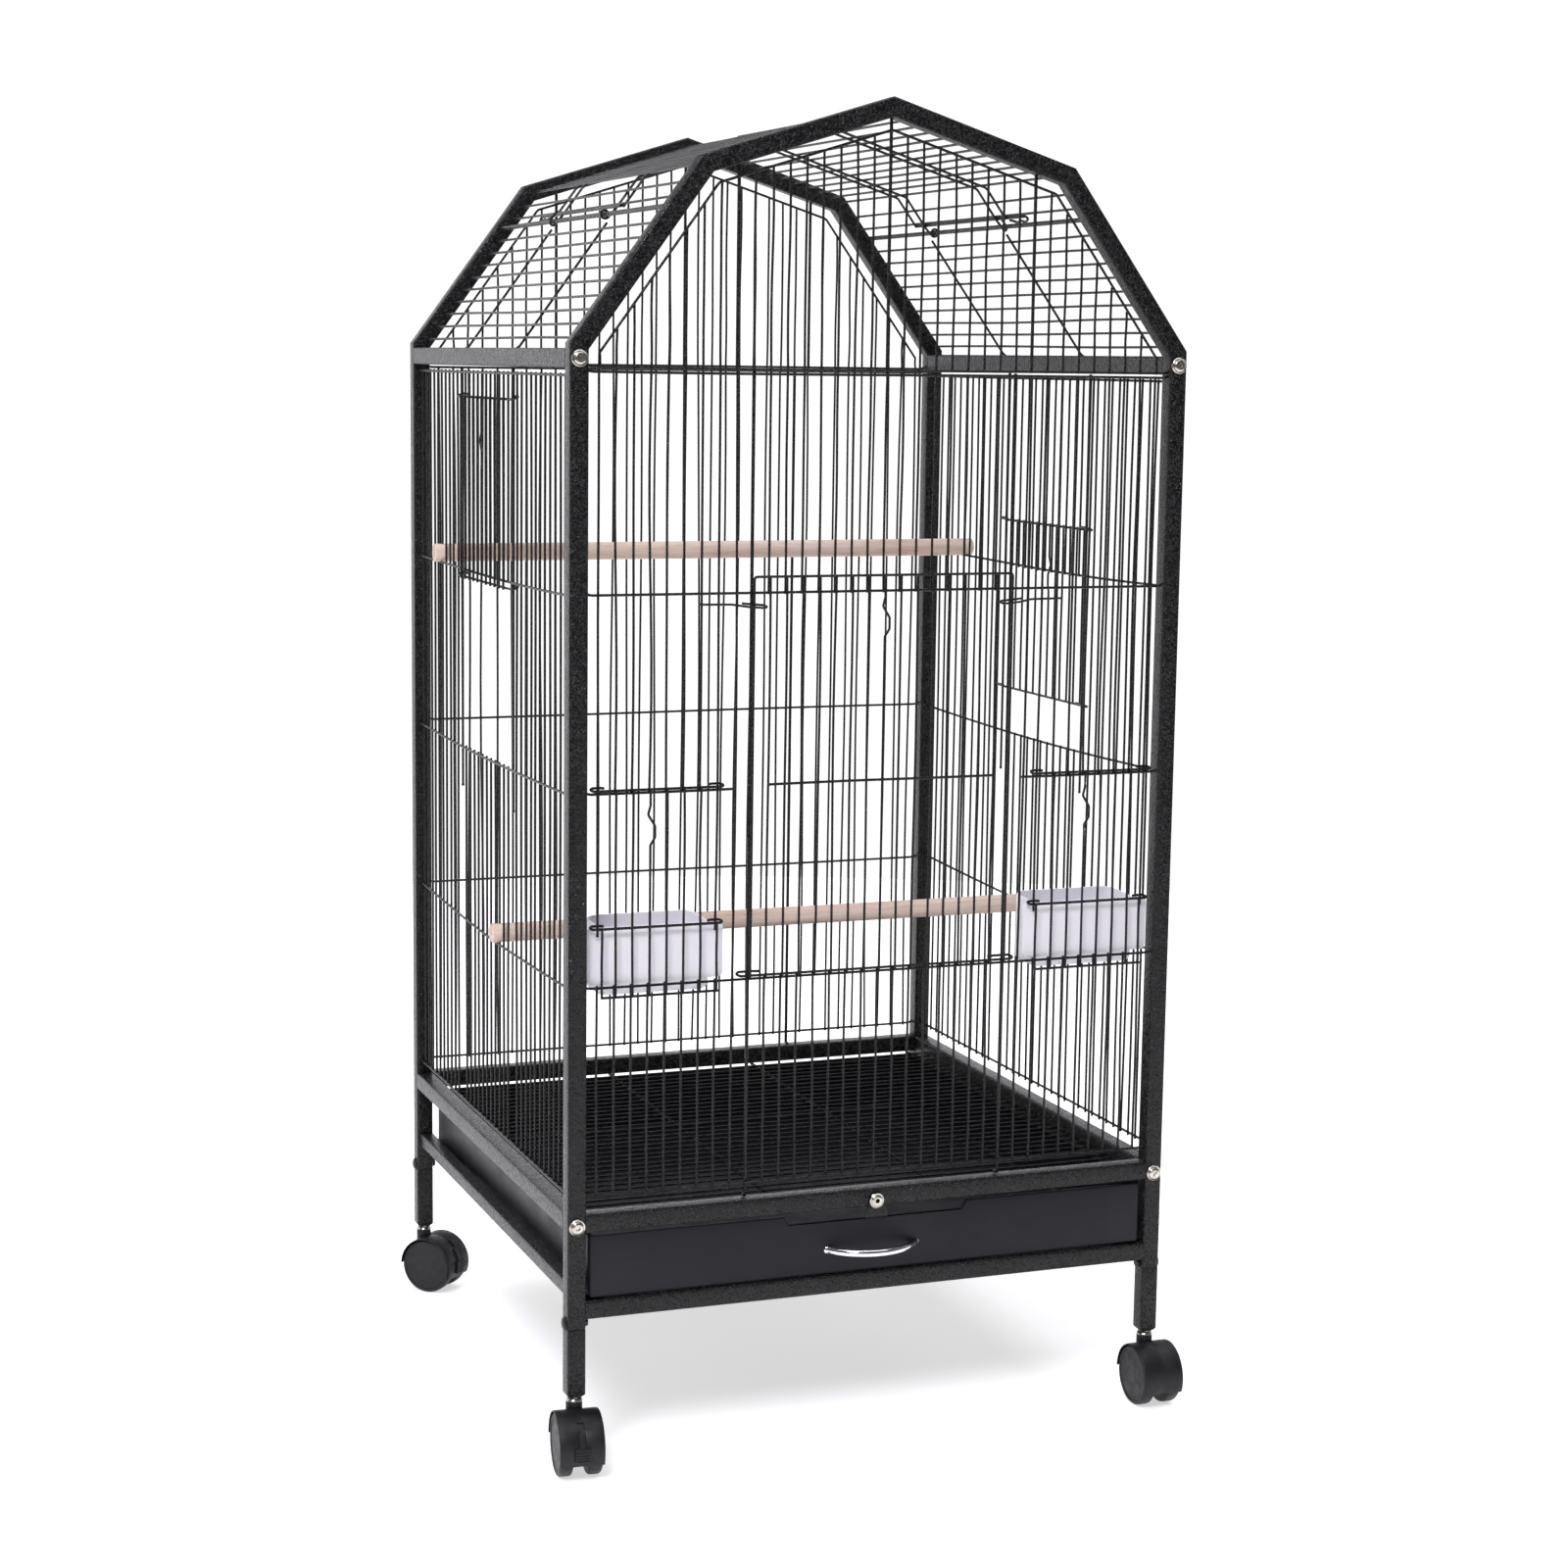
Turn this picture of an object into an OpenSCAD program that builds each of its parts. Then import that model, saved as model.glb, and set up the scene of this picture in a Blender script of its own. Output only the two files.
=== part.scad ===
// Wire bird cage with a house-shaped roof on a low wheeled stand.
// Units: millimetres. Origin: on the floor, under the middle of the cage.
// +Z up, -Y towards the front door, +X to the right of somebody facing the front.

/* [Overall size] */
// Outside width, left post to right post
cage_width = 520; // [400:10:600]
// Outside depth, front posts to back posts
cage_depth = 505; // [400:5:600]
// Height of the outer corner where the roof starts
eaves_z = 882; // [700:1:1000]
// Height of the knee in the roof
knee_z = 1024; // [850:1:1200]
// Half width of the roof at the knee
knee_x = 156; // [100:1:200]
// Height of the ridge
ridge_z = 1073; // [900:1:1300]

/* [Square tube frame] */
// Square tube, outside size
tube = 15; // [12:1:20]
// Tube wall
tube_wall = 1; // [0.8:0.1:2]
// Top of the rails under the wire panels
sill_z = 208; // [150:1:300]
// Top of the rail under the tray
low_rail_z = 138; // [100:1:250]
// Height where the legs plug into the posts
leg_joint_z = 116; // [90:1:120]
// Underside of the legs
leg_z = 59; // [55:1:80]
// Top of the two upper side rails
top_rail_z = 878; // [700:1:950]

/* [Wire panels] */
// Radius of the thin bars
bar_r = 0.9; // [0.7:0.05:1.5]
// Radius of the cross wires
wire_r = 1.1; // [0.8:0.05:1.6]
// Radius of the guide bars the doors slide on
guide_r = 1.4; // [1:0.05:2]
// Number of bar spaces across the front
front_spaces = 36; // [20:2:48]
// Distance between the front bars
front_pitch = 13.83; // [10:0.01:20]
// Number of bar spaces along a side
side_spaces = 35; // [20:1:48]
// Height of the upper cross wire
row1_z = 692; // [500:1:800]
// Height of the middle cross wire
row2_z = 539; // [400:1:650]
// Height of the lower cross wire
row3_z = 387; // [250:1:500]
// How far the cross wires of the side panels hang below those of the front
side_drop = 3; // [0:0.5:6]
// Height of the bottom wire of a panel
foot_z = 220; // [200:1:260]
// Height of the top wire of a panel
head_z = 860.6; // [700:0.1:900]

/* [Doors] */
// Height of the top wire of the main door
main_top_z = 704.5; // [600:0.5:800]
// Half width of the main door
main_half = 110.2; // [80:0.1:130]
// Height of a side door
side_door_h = 152; // [100:1:200]
// How far the left side door is raised
left_raised = 145; // [0:1:148]
// How far the right side door is raised
right_raised = 37; // [0:1:148]
// Half distance between the hooks of a roof leaf
hook_half = 76; // [50:1:100]
// Half length of the catch frame of a roof leaf
catch_half = 95; // [80:1:120]

/* [Inside and underneath] */
// Perch radius
perch_r = 8; // [6:0.5:12]
// Half length of a perch
perch_half = 260.5; // [257:0.5:280]
// Depth of a feeder cup
cup_depth = 42; // [30:1:80]
// Height of the floor grate
grate_z = 195.5; // [180:0.5:220]
// Sheet thickness of the tray
sheet = 1; // [0.6:0.1:2]
// Wheel radius
wheel_r = 25; // [20:1:40]
// Distance from the swivel to the wheel axle
trail = 12; // [8:1:20]

/* [Preview] */
// Which piece to show

/* [Hidden] */
$fn = 48;
gap = 0.02;
hx = cage_width / 2;
hy = cage_depth / 2;
px = hx - tube / 2;
py = hy - tube / 2;
ix = hx - tube;
iy = hy - tube;
fp = front_pitch;
sp = (2 * iy) / side_spaces;
thin_off = guide_r - bar_r;
cross_off = guide_r + wire_r + gap;
out_off = guide_r + wire_r + 0.1;
door_off = out_off + wire_r + bar_r + gap;
edge_off = out_off + 2 * wire_r + gap;
face_off = door_off + wire_r + bar_r + gap;
closed_z = row2_z + 2 * wire_r + 0.05;
side_z = closed_z - side_drop;
clip_z = 682.5;
bolt_z = leg_joint_z + 3.4;
low_perch_y = -2 * sp;
low_perch_z = row3_z - 5.35 + wire_r + 0.05 + perch_r;
bolt_top = top_rail_z - tube / 2;
bolt_low = sill_z - 9.5;
catch_z = bolt_low - 0.5;
gable_z = top_rail_z - 13.8;

// Roof outline, outer corners from post foot to ridge
ox = [hx, hx, knee_x, 0];
oz = [leg_joint_z, eaves_z, knee_z, ridge_z];
a1 = atan2(knee_z - eaves_z, hx - knee_x);
a2 = atan2(ridge_z - knee_z, knee_x);
rl = sqrt((hx - knee_x) * (hx - knee_x) + (knee_z - eaves_z) * (knee_z - eaves_z));
// Corner i of the outline moved inwards by d
function cx(i, d) = i == 0 ? hx - d : i == 1 ? hx - d : i == 2 ? knee_x - d * kx : 0;
function cz(i, d) = i == 0 ? leg_joint_z : i == 1 ? eaves_z - d * tan(45 - a1 / 2)
    : i == 2 ? knee_z - d * kz : ridge_z - d / cos(a2);
ka = (a1 + a2) / 2;
kx = sin(ka) / cos((a1 - a2) / 2);
kz = cos(ka) / cos((a1 - a2) / 2);
// Point at distance s up the lower slope from the eaves, d inside the outer face
function lx(s, d) = hx - s * cos(a1) - d * sin(a1);
function lz(s, d) = eaves_z + s * sin(a1) - d * cos(a1);
// Point at distance s up the upper slope from the knee
function ux(s, d) = knee_x - s * cos(a2) - d * sin(a2);
function uz(s, d) = knee_z + s * sin(a2) - d * cos(a2);
ul = knee_x / cos(a2);
rod_s = rl - 44;
rod_d = 5;
rod_x = lx(rod_s, rod_d);
rod_z = lz(rod_s, rod_d);

module bx(x0, x1, y, z, r) { translate([x0, y, z]) rotate([0, 90, 0]) cylinder(r = r, h = x1 - x0); }
module by(x, y0, y1, z, r) { translate([x, y0, z]) rotate([-90, 0, 0]) cylinder(r = r, h = y1 - y0); }
module bz(x, y, z0, z1, r) { translate([x, y, z0]) cylinder(r = r, h = z1 - z0); }
// Straight wire from one point to another in a plane of constant y
module bs(x0, z0, x1, z1, y, r) {
    translate([x0, y, z0]) rotate([0, 90 - atan2(z1 - z0, x1 - x0), 0])
        cylinder(r = r, h = sqrt((x1 - x0) * (x1 - x0) + (z1 - z0) * (z1 - z0)));
}
module ring(R, r) { rotate_extrude() translate([R, 0]) circle(r = r); }
module both() { children(); mirror([1, 0, 0]) children(); }

// ---------- frame ----------
module member(i, d0, d1, e, w) {
    j = i + 1;
    ang = atan2(cz(j, 7) - cz(i, 7), cx(j, 7) - cx(i, 7));
    u = cos(ang) * e;
    v = sin(ang) * e;
    translate([0, w / 2, 0]) rotate([90, 0, 0]) linear_extrude(w)
        polygon([[cx(i, d0) - u, cz(i, d0) - v], [cx(j, d0) + u, cz(j, d0) + v],
                 [cx(j, d1) + u, cz(j, d1) + v], [cx(i, d1) - u, cz(i, d1) - v]]);
}
module box_tube(i) {
    difference() {
        member(i, 0, tube, -gap, tube);
        member(i, tube_wall, tube - tube_wall, 4, tube - 2 * tube_wall);
    }
}
module rail_x(z) {
    difference() {
        translate([-ix + gap, -tube / 2, z - tube]) cube([2 * (ix - gap), tube, tube]);
        translate([-ix - 1, -tube / 2 + tube_wall, z - tube + tube_wall])
            cube([2 * ix + 2, tube - 2 * tube_wall, tube - 2 * tube_wall]);
    }
}
module arch() {
    both() {
        difference() {
            box_tube(0);
            for (z = [bolt_top, bolt_low]) by(px, -tube, tube, z, 3.05);
            bx(px - tube, px + tube, 0, bolt_z, 2.05);
        }
        box_tube(1);
        box_tube(2);
    }
    rail_x(sill_z);
    rail_x(low_rail_z);
}
module front_frame() { color("#17171a") translate([0, -py, 0]) difference() {
    arch();
    by(0, -tube, tube, catch_z, 2.05);
} }
module back_frame() { color("#17171a") translate([0, py, 0]) arch(); }
module rails_y(z) {
    both() difference() {
        translate([ix, -iy + gap, z - tube]) cube([tube, 2 * (iy - gap), tube]);
        translate([ix + tube_wall, -iy - 1, z - tube + tube_wall])
            cube([tube - 2 * tube_wall, 2 * iy + 2, tube - 2 * tube_wall]);
    }
}
module top_side_rails() { color("#1b1b1f") rails_y(top_rail_z); }
module bottom_side_rails() { color("#1b1b1f") rails_y(sill_z); }
module tray_runners() { color("#1b1b1f") both() {
    difference() {
        translate([ix + gap, -iy + gap, low_rail_z]) cube([12, 2 * (iy - gap), 12]);
        translate([ix + 1, -iy - 1, low_rail_z + 1]) cube([10, 2 * iy + 2, 10]);
    }
    translate([ix - 19, -iy + gap, low_rail_z - 1.1]) cube([19, 2 * (iy - gap), 2.05]);
} }
module roof_tie_rods() { color("#1b1b1f") both()
    by(rod_x, -iy + gap, iy - gap, rod_z, 2);
}

// ---------- legs, bolts ----------
module leg(s, t) {
    color("#17171a") translate([s * px, t * py, 0]) difference() {
        union() {
            translate([-tube / 2, -tube / 2, leg_z]) cube([tube, tube, leg_joint_z - gap - leg_z]);
            translate([-6.45, -6.45, leg_joint_z - 20]) cube([12.9, 12.9, 56]);
        }
        translate([-5.45, -5.45, leg_z - 1]) cube([10.9, 10.9, 100]);
        bx(-tube, tube, 0, bolt_z, 2.05);
    }
}
module leg_fl() { leg(-1, -1); }
module leg_fr() { leg(1, -1); }
module leg_bl() { leg(-1, 1); }
module leg_br() { leg(1, 1); }
module leg_bolts() { color("#1a1a1e") both() for (t = [-1, 1]) translate([px, t * py, bolt_z])
    rotate([0, 90, 0]) {
        translate([0, 0, -tube / 2 - 5]) cylinder(r = 2, h = tube + 6);
        translate([0, 0, tube / 2 + gap]) cylinder(r1 = 5.6, r2 = 3.4, h = 2.6);
        translate([0, 0, -tube / 2 - 3.4]) cylinder(r = 3.5, h = 3.3, $fn = 6);
    }
}
module cap_bolt(l) {
    rotate([90, 0, 0]) difference() {
        union() {
            translate([0, 0, -l]) cylinder(r = 3, h = l + 1);
            translate([0, 0, gap]) cylinder(r = 6.6, h = 1.2);
            translate([0, 0, 1.2]) cylinder(r1 = 6.6, r2 = 5, h = 1.6);
        }
        translate([0, 0, 1.4]) cylinder(r = 2.3, h = 3, $fn = 6);
    }
}
module frame_bolts() { color("#b9b4ac") for (s = [-1, 1], z = [bolt_top, bolt_low]) {
    translate([s * px, -hy, z]) cap_bolt(32);
    translate([s * px, hy, z]) rotate([0, 0, 180]) cap_bolt(32);
} }

// ---------- fixed wire panels ----------
// The cross wires lie on the outside of the bars
module front_panel() { color("#141416") translate([0, -py, 0]) {
    for (i = [-front_spaces / 2 + 1 : front_spaces / 2 - 1]) {
        x = i * fp;
        m = abs(i);
        if (m == 8) bz(x, 0, sill_z + 0.5, gable_z - 1.5, guide_r);
        else if (m < 8) {
            bz(x, -thin_off, foot_z - 1.5, row3_z + 1.5, bar_r);
            bz(x, -thin_off, row1_z - 1.5, head_z + 1.2, bar_r);
        } else if (m >= 10 && m <= 17) {
            bz(x, -thin_off, foot_z - 1.5, row3_z + 1.5, bar_r);
            bz(x, -thin_off, m == 10 || m == 17 ? row2_z - 112 : row2_z - 1.5, head_z + 1.2, bar_r);
        } else bz(x, -thin_off, foot_z - 1.5, head_z + 1.2, bar_r);
    }
    for (z = [head_z, row1_z, row3_z, foot_z]) bx(-ix + gap, ix - gap, -cross_off, z, wire_r);
    both() bx(8.9 * fp, ix - gap, -cross_off, row2_z, wire_r);
} }
module back_panel() { color("#141416") translate([0, py, 0]) {
    for (i = [-front_spaces / 2 + 1 : front_spaces / 2 - 1])
        if (abs(i) == 8) bz(i * fp, 0, sill_z + 0.5, gable_z - 1.5, guide_r);
        else bz(i * fp, thin_off, foot_z - 1.5, head_z + 1.2, bar_r);
    for (z = [head_z, row2_z, row3_z, foot_z]) bx(-ix + gap, ix - gap, cross_off, z, wire_r);
} }
// s is the side, c the middle bar of its door; the lowest cross wire sags under the perch
module side_panel(s, c) {
    y1 = low_perch_y;
    z1 = low_perch_z - perch_r - wire_r - 0.05;
    color("#141416") translate([s * px, 0, 0]) {
        for (i = [-17 : 17]) {
            m = abs(i - c);
            if (m == 6) bz(0, i * sp, sill_z + 0.5, top_rail_z - tube - gap, guide_r);
            else if (m < 6) {
                bz(s * thin_off, i * sp, foot_z - 1.5, row2_z - side_drop + 1.5, bar_r);
                bz(s * thin_off, i * sp, row1_z - side_drop - 1.5, head_z - 1.3, bar_r);
            } else bz(s * thin_off, i * sp, foot_z - 1.5, head_z - 1.3, bar_r);
        }
        for (z = [head_z - side_drop, row1_z - side_drop, row2_z - side_drop, foot_z])
            by(s * cross_off, -iy + gap, iy - gap, z, wire_r);
        for (t = [-1, 1]) translate([s * cross_off, y1 + t * 0.2, z1])
            rotate([-t * 90 + atan2(row3_z - z1, iy - t * y1) * t, 0, 0])
                cylinder(r = wire_r, h = iy - t * y1 - 0.4);
    }
}
module left_panel() { side_panel(-1, 1); }
module right_panel() { side_panel(1, -1); }
function roof_z(x, d) = abs(x) > cx(2, d)
    ? cz(1, d) + (cx(1, d) - abs(x)) * tan(a1) : cz(3, d) - abs(x) * tan(a2);
module gable(t) {
    d = tube + 9;
    color("#141416") translate([0, -t * py, 0]) {
        for (i = [-17 : 17]) {
            thick = i % 9 == 0;
            top = roof_z(i * fp, thick ? tube + 3 : d + 1);
            if (top > gable_z + 5)
                bz(i * fp, thick ? 0 : -t * thin_off, gable_z - 1.2, top, thick ? guide_r : bar_r);
        }
        bx(-ix + gap, ix - gap, -t * cross_off, gable_z, wire_r);
        both() {
            bs(cx(1, d), cz(1, d), cx(2, d) + 0.7, cz(2, d) - 1, -t * cross_off, wire_r);
            bs(cx(2, d) - 1, cz(2, d) + 0.3, 0.6, cz(3, d) - 0.2, -t * cross_off, wire_r);
        }
    }
}
module front_gable() { gable(1); }
module back_gable() { gable(-1); }

// Wires that run up one side of the roof at y, below and above the knee
module low_wire(y, s0, s1) { bs(lx(s0, 9.6), lz(s0, 9.6), lx(s1, 9.6), lz(s1, 9.6), y, wire_r); }
module top_wire(y) { bs(ux(3.6, 9.6), uz(3.6, 9.6), ux(ul - 6, 9.6), uz(ul - 6, 9.6), y, wire_r); }
module roof_side() { color("#141416") {
    for (s = [10 : 13.6 : rod_s - 8]) by(lx(s, 7.5), -iy + gap, iy - gap, lz(s, 7.5), bar_r);
    for (t = [-1, 1]) low_wire(t * (hook_half + 3), 5, rod_s - 5);
} }
module roof_panel_right() { roof_side(); }
module roof_panel_left() { mirror([1, 0, 0]) roof_side(); }
module floor_grate() { color("#131315") {
    for (y = [-16 * sp : sp : 16.5 * sp]) bx(-ix + 2, ix - 2, y, grate_z, bar_r);
    for (x = [-236, -72, 72, 236]) by(x, -iy + 1, iy - 1, grate_z - bar_r - 1.5 - gap, 1.5);
} }

// ---------- doors ----------
// Door bars, cross wires and guide loops; the guides stand at -g and g
module main_door() { color("#121214") translate([0, -py, 0]) {
    z0 = row3_z + 2 * wire_r + 0.05;
    g = 8 * fp;
    for (i = [-7 : 7]) bz(i * fp, -door_off, z0 - 2, main_top_z - wire_r - gap, bar_r);
    bx(-g + 3.5, g - 3.5, -out_off, z0, wire_r);
    bx(-7.05 * fp, 7.05 * fp, -face_off, row2_z + 3, wire_r);
    bx(-main_half + 3 + gap, main_half - 3 - gap, -edge_off, main_top_z, wire_r);
    both() {
        translate([g, 0, z0]) ring(out_off, wire_r);
        bz(main_half, -edge_off, z0 - 2, main_top_z - 3 - gap, wire_r);
        translate([main_half - 3, -edge_off, main_top_z - 3]) rotate([90, 0, 0])
            rotate_extrude(angle = 90) translate([3, 0]) circle(r = wire_r);
    }
} }
module main_door_clips() { color("#121214") translate([0, -py, 0]) both() {
    bx(main_half + 3.3, 11.2 * fp, -out_off, clip_z, wire_r);
    translate([main_half, -edge_off, clip_z]) ring(2.1, 0.9);
} }
module feeder_door() { color("#121214") translate([0, -py - thin_off, 0]) {
    r0 = bar_r + wire_r + 0.1;
    for (i = [11 : 16]) bz(i * fp, thin_off - door_off, row3_z - 8.5, closed_z + 1.5, bar_r);
    for (z = [closed_z, closed_z - 108]) {
        bx(10 * fp + 3.1, 17 * fp - 3.1, -r0, z, wire_r);
        for (i = [10, 17]) translate([i * fp, 0, z]) ring(r0, wire_r);
    }
    for (x = [10 * fp, 16.8 * fp])
        bz(x, thin_off - door_off, row3_z - 8.5, closed_z - 106.5, bar_r);
    bx(10 * fp - 1, 16.8 * fp + 1, thin_off - face_off, row3_z - 7, wire_r);
} }
module feeder_door_right() { feeder_door(); }
module feeder_door_left() { mirror([1, 0, 0]) feeder_door(); }
module side_door(s, c, lift) { color("#121214") translate([s * px, c * sp, side_z + lift]) {
    for (i = [-5 : 5]) bz(s * door_off, i * sp, -1.5, side_door_h + 3, bar_r);
    for (z = [0, side_door_h + 1.5]) {
        by(s * out_off, -6 * sp + 3.5, 6 * sp - 3.5, z, wire_r);
        for (i = [-6, 6]) translate([0, i * sp, z]) ring(out_off, wire_r);
    }
} }
module side_door_left() { side_door(-1, 1, left_raised); }
module side_door_right() { side_door(1, -1, right_raised); }
// A roof leaf hangs on the tie rod by two hooks; its catch frame ends in a bar with a finger tab
module hatch() { color("#121214") {
    for (t = [-1, 1]) {
        translate([rod_x, t * hook_half, rod_z]) rotate([90, 0, 0]) ring(2 + wire_r + 0.12, wire_r);
        for (y = [t * hook_half, t * catch_half]) {
            low_wire(y, rod_s + (abs(y) > hook_half ? 8 : 2.9), rl - 5);
            top_wire(y);
        }
    }
    for (s = [rod_s + 12, rod_s + 25.6]) by(lx(s, 7.5), -iy + 1.5, iy - 1.5, lz(s, 7.5), bar_r);
    for (k = [0 : 11])
        by(ux(5 + k * 13.2, 7.5), -iy + 1.5, iy - 1.5, uz(5 + k * 13.2, 7.5), bar_r);
    by(ux(ul - 4.5, 7.5), -catch_half - 1.5, catch_half + 1.5, uz(ul - 4.5, 7.5), wire_r);
    by(lx(rod_s + 9.5, 6.98), -catch_half - 35, catch_half + 1.5, lz(rod_s + 9.5, 6.98), 1.5);
} }
module roof_hatch_right() { hatch(); }
module roof_hatch_left() { rotate([0, 0, 180]) hatch(); }

// ---------- perches and feeders ----------
module perch(y, z) { color("#d8c0ac") difference() {
    bx(-perch_half, perch_half, y, z, perch_r);
    for (s = [-1, 1]) translate([s * (perch_half - 4) - 16, y - 1.3, z - 10]) cube([32, 2.6, 20]);
} }
module upper_perch() { perch(12 * sp, row1_z - side_drop + wire_r + 0.05 + perch_r); }
module lower_perch() { perch(low_perch_y, low_perch_z); }
// Cup whose flat front plate bears on the panel with a wing on each side; its back is a little taller
module cup() { color("#d5d3dc") {
    x0 = 10 * fp - 8;
    x1 = 17 * fp + 8;
    y0 = -py + 2.9;
    difference() {
        union() {
            translate([x0 + 10, y0, row3_z - 8]) cube([x1 - x0 - 20, cup_depth, 54.5]);
            translate([x0, y0, row3_z + 2]) cube([x1 - x0, 2.5, 44.5]);
            translate([x0 + 10, y0 + cup_depth - 2.5, row3_z - 8]) cube([x1 - x0 - 20, 2.5, 59.5]);
        }
        translate([x0 + 12.5, y0 + 2.5, row3_z - 5.5]) cube([x1 - x0 - 25, cup_depth - 5, 70]);
        translate([(x0 + x1) / 2, y0 + cup_depth + 5, row3_z + 51.5]) rotate([90, 0, 0]) difference() {
            translate([-70, -20, 0]) cube([140, 30, 8]);
            translate([0, -300, -1]) cylinder(r = 300, h = 10, $fn = 180);
        }
    }
} }
module feeder_cup_right() { cup(); }
module feeder_cup_left() { mirror([1, 0, 0]) cup(); }

// ---------- tray ----------
module tray() { color("#26262e") {
    tx = ix - 3;
    ty = hy - 2.5;
    z0 = low_rail_z + 1;
    difference() {
        translate([-tx, -ty, z0]) cube([2 * tx, ty + 232, 51]);
        translate([-tx + sheet, -ty + sheet, z0 + sheet])
            cube([2 * tx - 2 * sheet, ty + 232 - 2 * sheet, 60]);
        translate([-78, -ty - 5, z0 + 43]) cube([160, 20, 20]);
    }
    for (x = [[-tx, -80], [84, tx]]) translate([x[0], -ty + sheet - 0.5, z0 + 43]) difference() {
        cube([x[1] - x[0], 5, 8]);
        translate([-1, -1, -1]) cube([x[1] - x[0] + 2, 5, 8]);
    }
} }
module tray_handle() { color("#c9c9cf") translate([-2, -hy + 2.5, 159]) {
    translate([0, 27, 0]) rotate([0, 0, 218]) rotate_extrude(angle = 104)
        translate([47, 0]) circle(r = 3.2);
    for (s = [-1, 1]) translate([s * 38, -gap, 0]) rotate([90, 0, 0]) cylinder(r1 = 4.8, r2 = 4, h = 4.6);
} }
module tray_handle_screws() { color("#8f8f95") translate([-2, -hy + 2.5 + sheet + gap, 159])
    for (s = [-1, 1]) translate([s * 38.3, 0, 0]) rotate([-90, 0, 0]) cylinder(r1 = 5, r2 = 4, h = 2.2);
}
module tray_catch() { color("#1c1c20") translate([0, -hy - gap, catch_z]) rotate([90, 0, 0])
    difference() {
        linear_extrude(1.5) polygon([[-6, 6], [6, 6], [10.5, -14], [-10.5, -14]]);
        translate([0, 0, -1]) cylinder(r = 2.05, h = 4);
    }
}
module tray_catch_bolt() { color("#b9b4ac") translate([0, -hy, catch_z]) rotate([90, 0, 0]) {
    translate([0, 0, -tube - 3]) cylinder(r = 2, h = tube + 5);
    translate([0, 0, 1.6]) cylinder(r1 = 5.6, r2 = 4, h = 2);
    translate([0, 0, -tube - 3.4]) cylinder(r = 4, h = 3.2, $fn = 6);
} }

// ---------- casters ----------
module at_caster(k) {
    s = k == 0 || k == 2 ? -1 : 1;
    t = k < 2 ? -1 : 1;
    h = [-6, 0, 45, 200][k];
    translate([s * px, t * py, 0]) rotate([0, 0, h]) children();
}
module caster_stems() { color("#c8c8cc") for (k = [0 : 3]) at_caster(k) {
    bz(0, 0, 44.2, leg_z - 3, 3);
    bz(0, 0, leg_z - 3, leg_z - gap, 6.9);
    bz(0, 0, leg_z - gap, leg_z + 22, 5.4);
} }
module hood(k) { color("#222026") at_caster(k) difference() {
    union() {
        translate([-18, -trail, wheel_r]) rotate([0, 90, 0]) cylinder(r = wheel_r + 1.6, h = 36);
        bz(0, 0, 38, leg_z - 3 - gap, 6.7);
    }
    for (x = [-19, 5.9]) translate([x, -trail, wheel_r]) rotate([0, 90, 0])
        cylinder(r = wheel_r + 0.5, h = 13.1);
    translate([-20, -trail - 40, -5]) cube([40, 80, 19.6]);
    translate([-20, 2, -5]) cube([40, 40, 31]);
    bz(0, 0, 44, leg_z, 3.05);
    bx(-20, 20, -trail, wheel_r, 2.52);
} }
module axle(k) { color("#9a9aa0") at_caster(k) bx(-16.6, 16.6, -trail, wheel_r, 2.5); }
module wheel(k, s) { color("#1e1d22") at_caster(k)
    translate([0, -trail, wheel_r]) rotate([0, s * 90, 0]) difference() {
        union() {
            translate([0, 0, 6.2]) cylinder(r1 = wheel_r - 0.8, r2 = wheel_r, h = 0.8);
            translate([0, 0, 7]) cylinder(r = wheel_r, h = 9);
            translate([0, 0, 16]) cylinder(r1 = wheel_r, r2 = wheel_r - 1.4, h = 1.2);
        }
        translate([0, 0, 5]) cylinder(r = 2.55, h = 11.8);
    }
}
// Brake: a curved slide round the hood with a ribbed foot pad
module brake(k) { color("#2a282e") at_caster(k) translate([0, -trail, wheel_r]) {
    difference() {
        union() {
            rotate([0, 90, 0]) cylinder(r = wheel_r + 3.2, h = 5.2, center = true);
            translate([-6, -wheel_r - 4.4, -6]) cube([12, 10, 11]);
        }
        rotate([0, 90, 0]) cylinder(r = wheel_r + 1.68, h = 40, center = true);
        translate([-20, -10, -40]) cube([40, 60, 80]);
        translate([-20, -40, -68]) cube([40, 60, 60]);
        translate([-20, -40, 17]) cube([40, 60, 45]);
    }
} }
module hood_fl() { hood(0); }
module hood_fr() { hood(1); }
module hood_bl() { hood(2); }
module hood_br() { hood(3); }
module axle_fl() { axle(0); }
module axle_fr() { axle(1); }
module axle_bl() { axle(2); }
module axle_br() { axle(3); }
module wheel_fl_a() { wheel(0, -1); }
module wheel_fl_b() { wheel(0, 1); }
module wheel_fr_a() { wheel(1, -1); }
module wheel_fr_b() { wheel(1, 1); }
module wheel_bl_a() { wheel(2, -1); }
module wheel_bl_b() { wheel(2, 1); }
module wheel_br_a() { wheel(3, -1); }
module wheel_br_b() { wheel(3, 1); }
module brake_fl() { brake(0); }
module brake_bl() { brake(2); }

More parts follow.
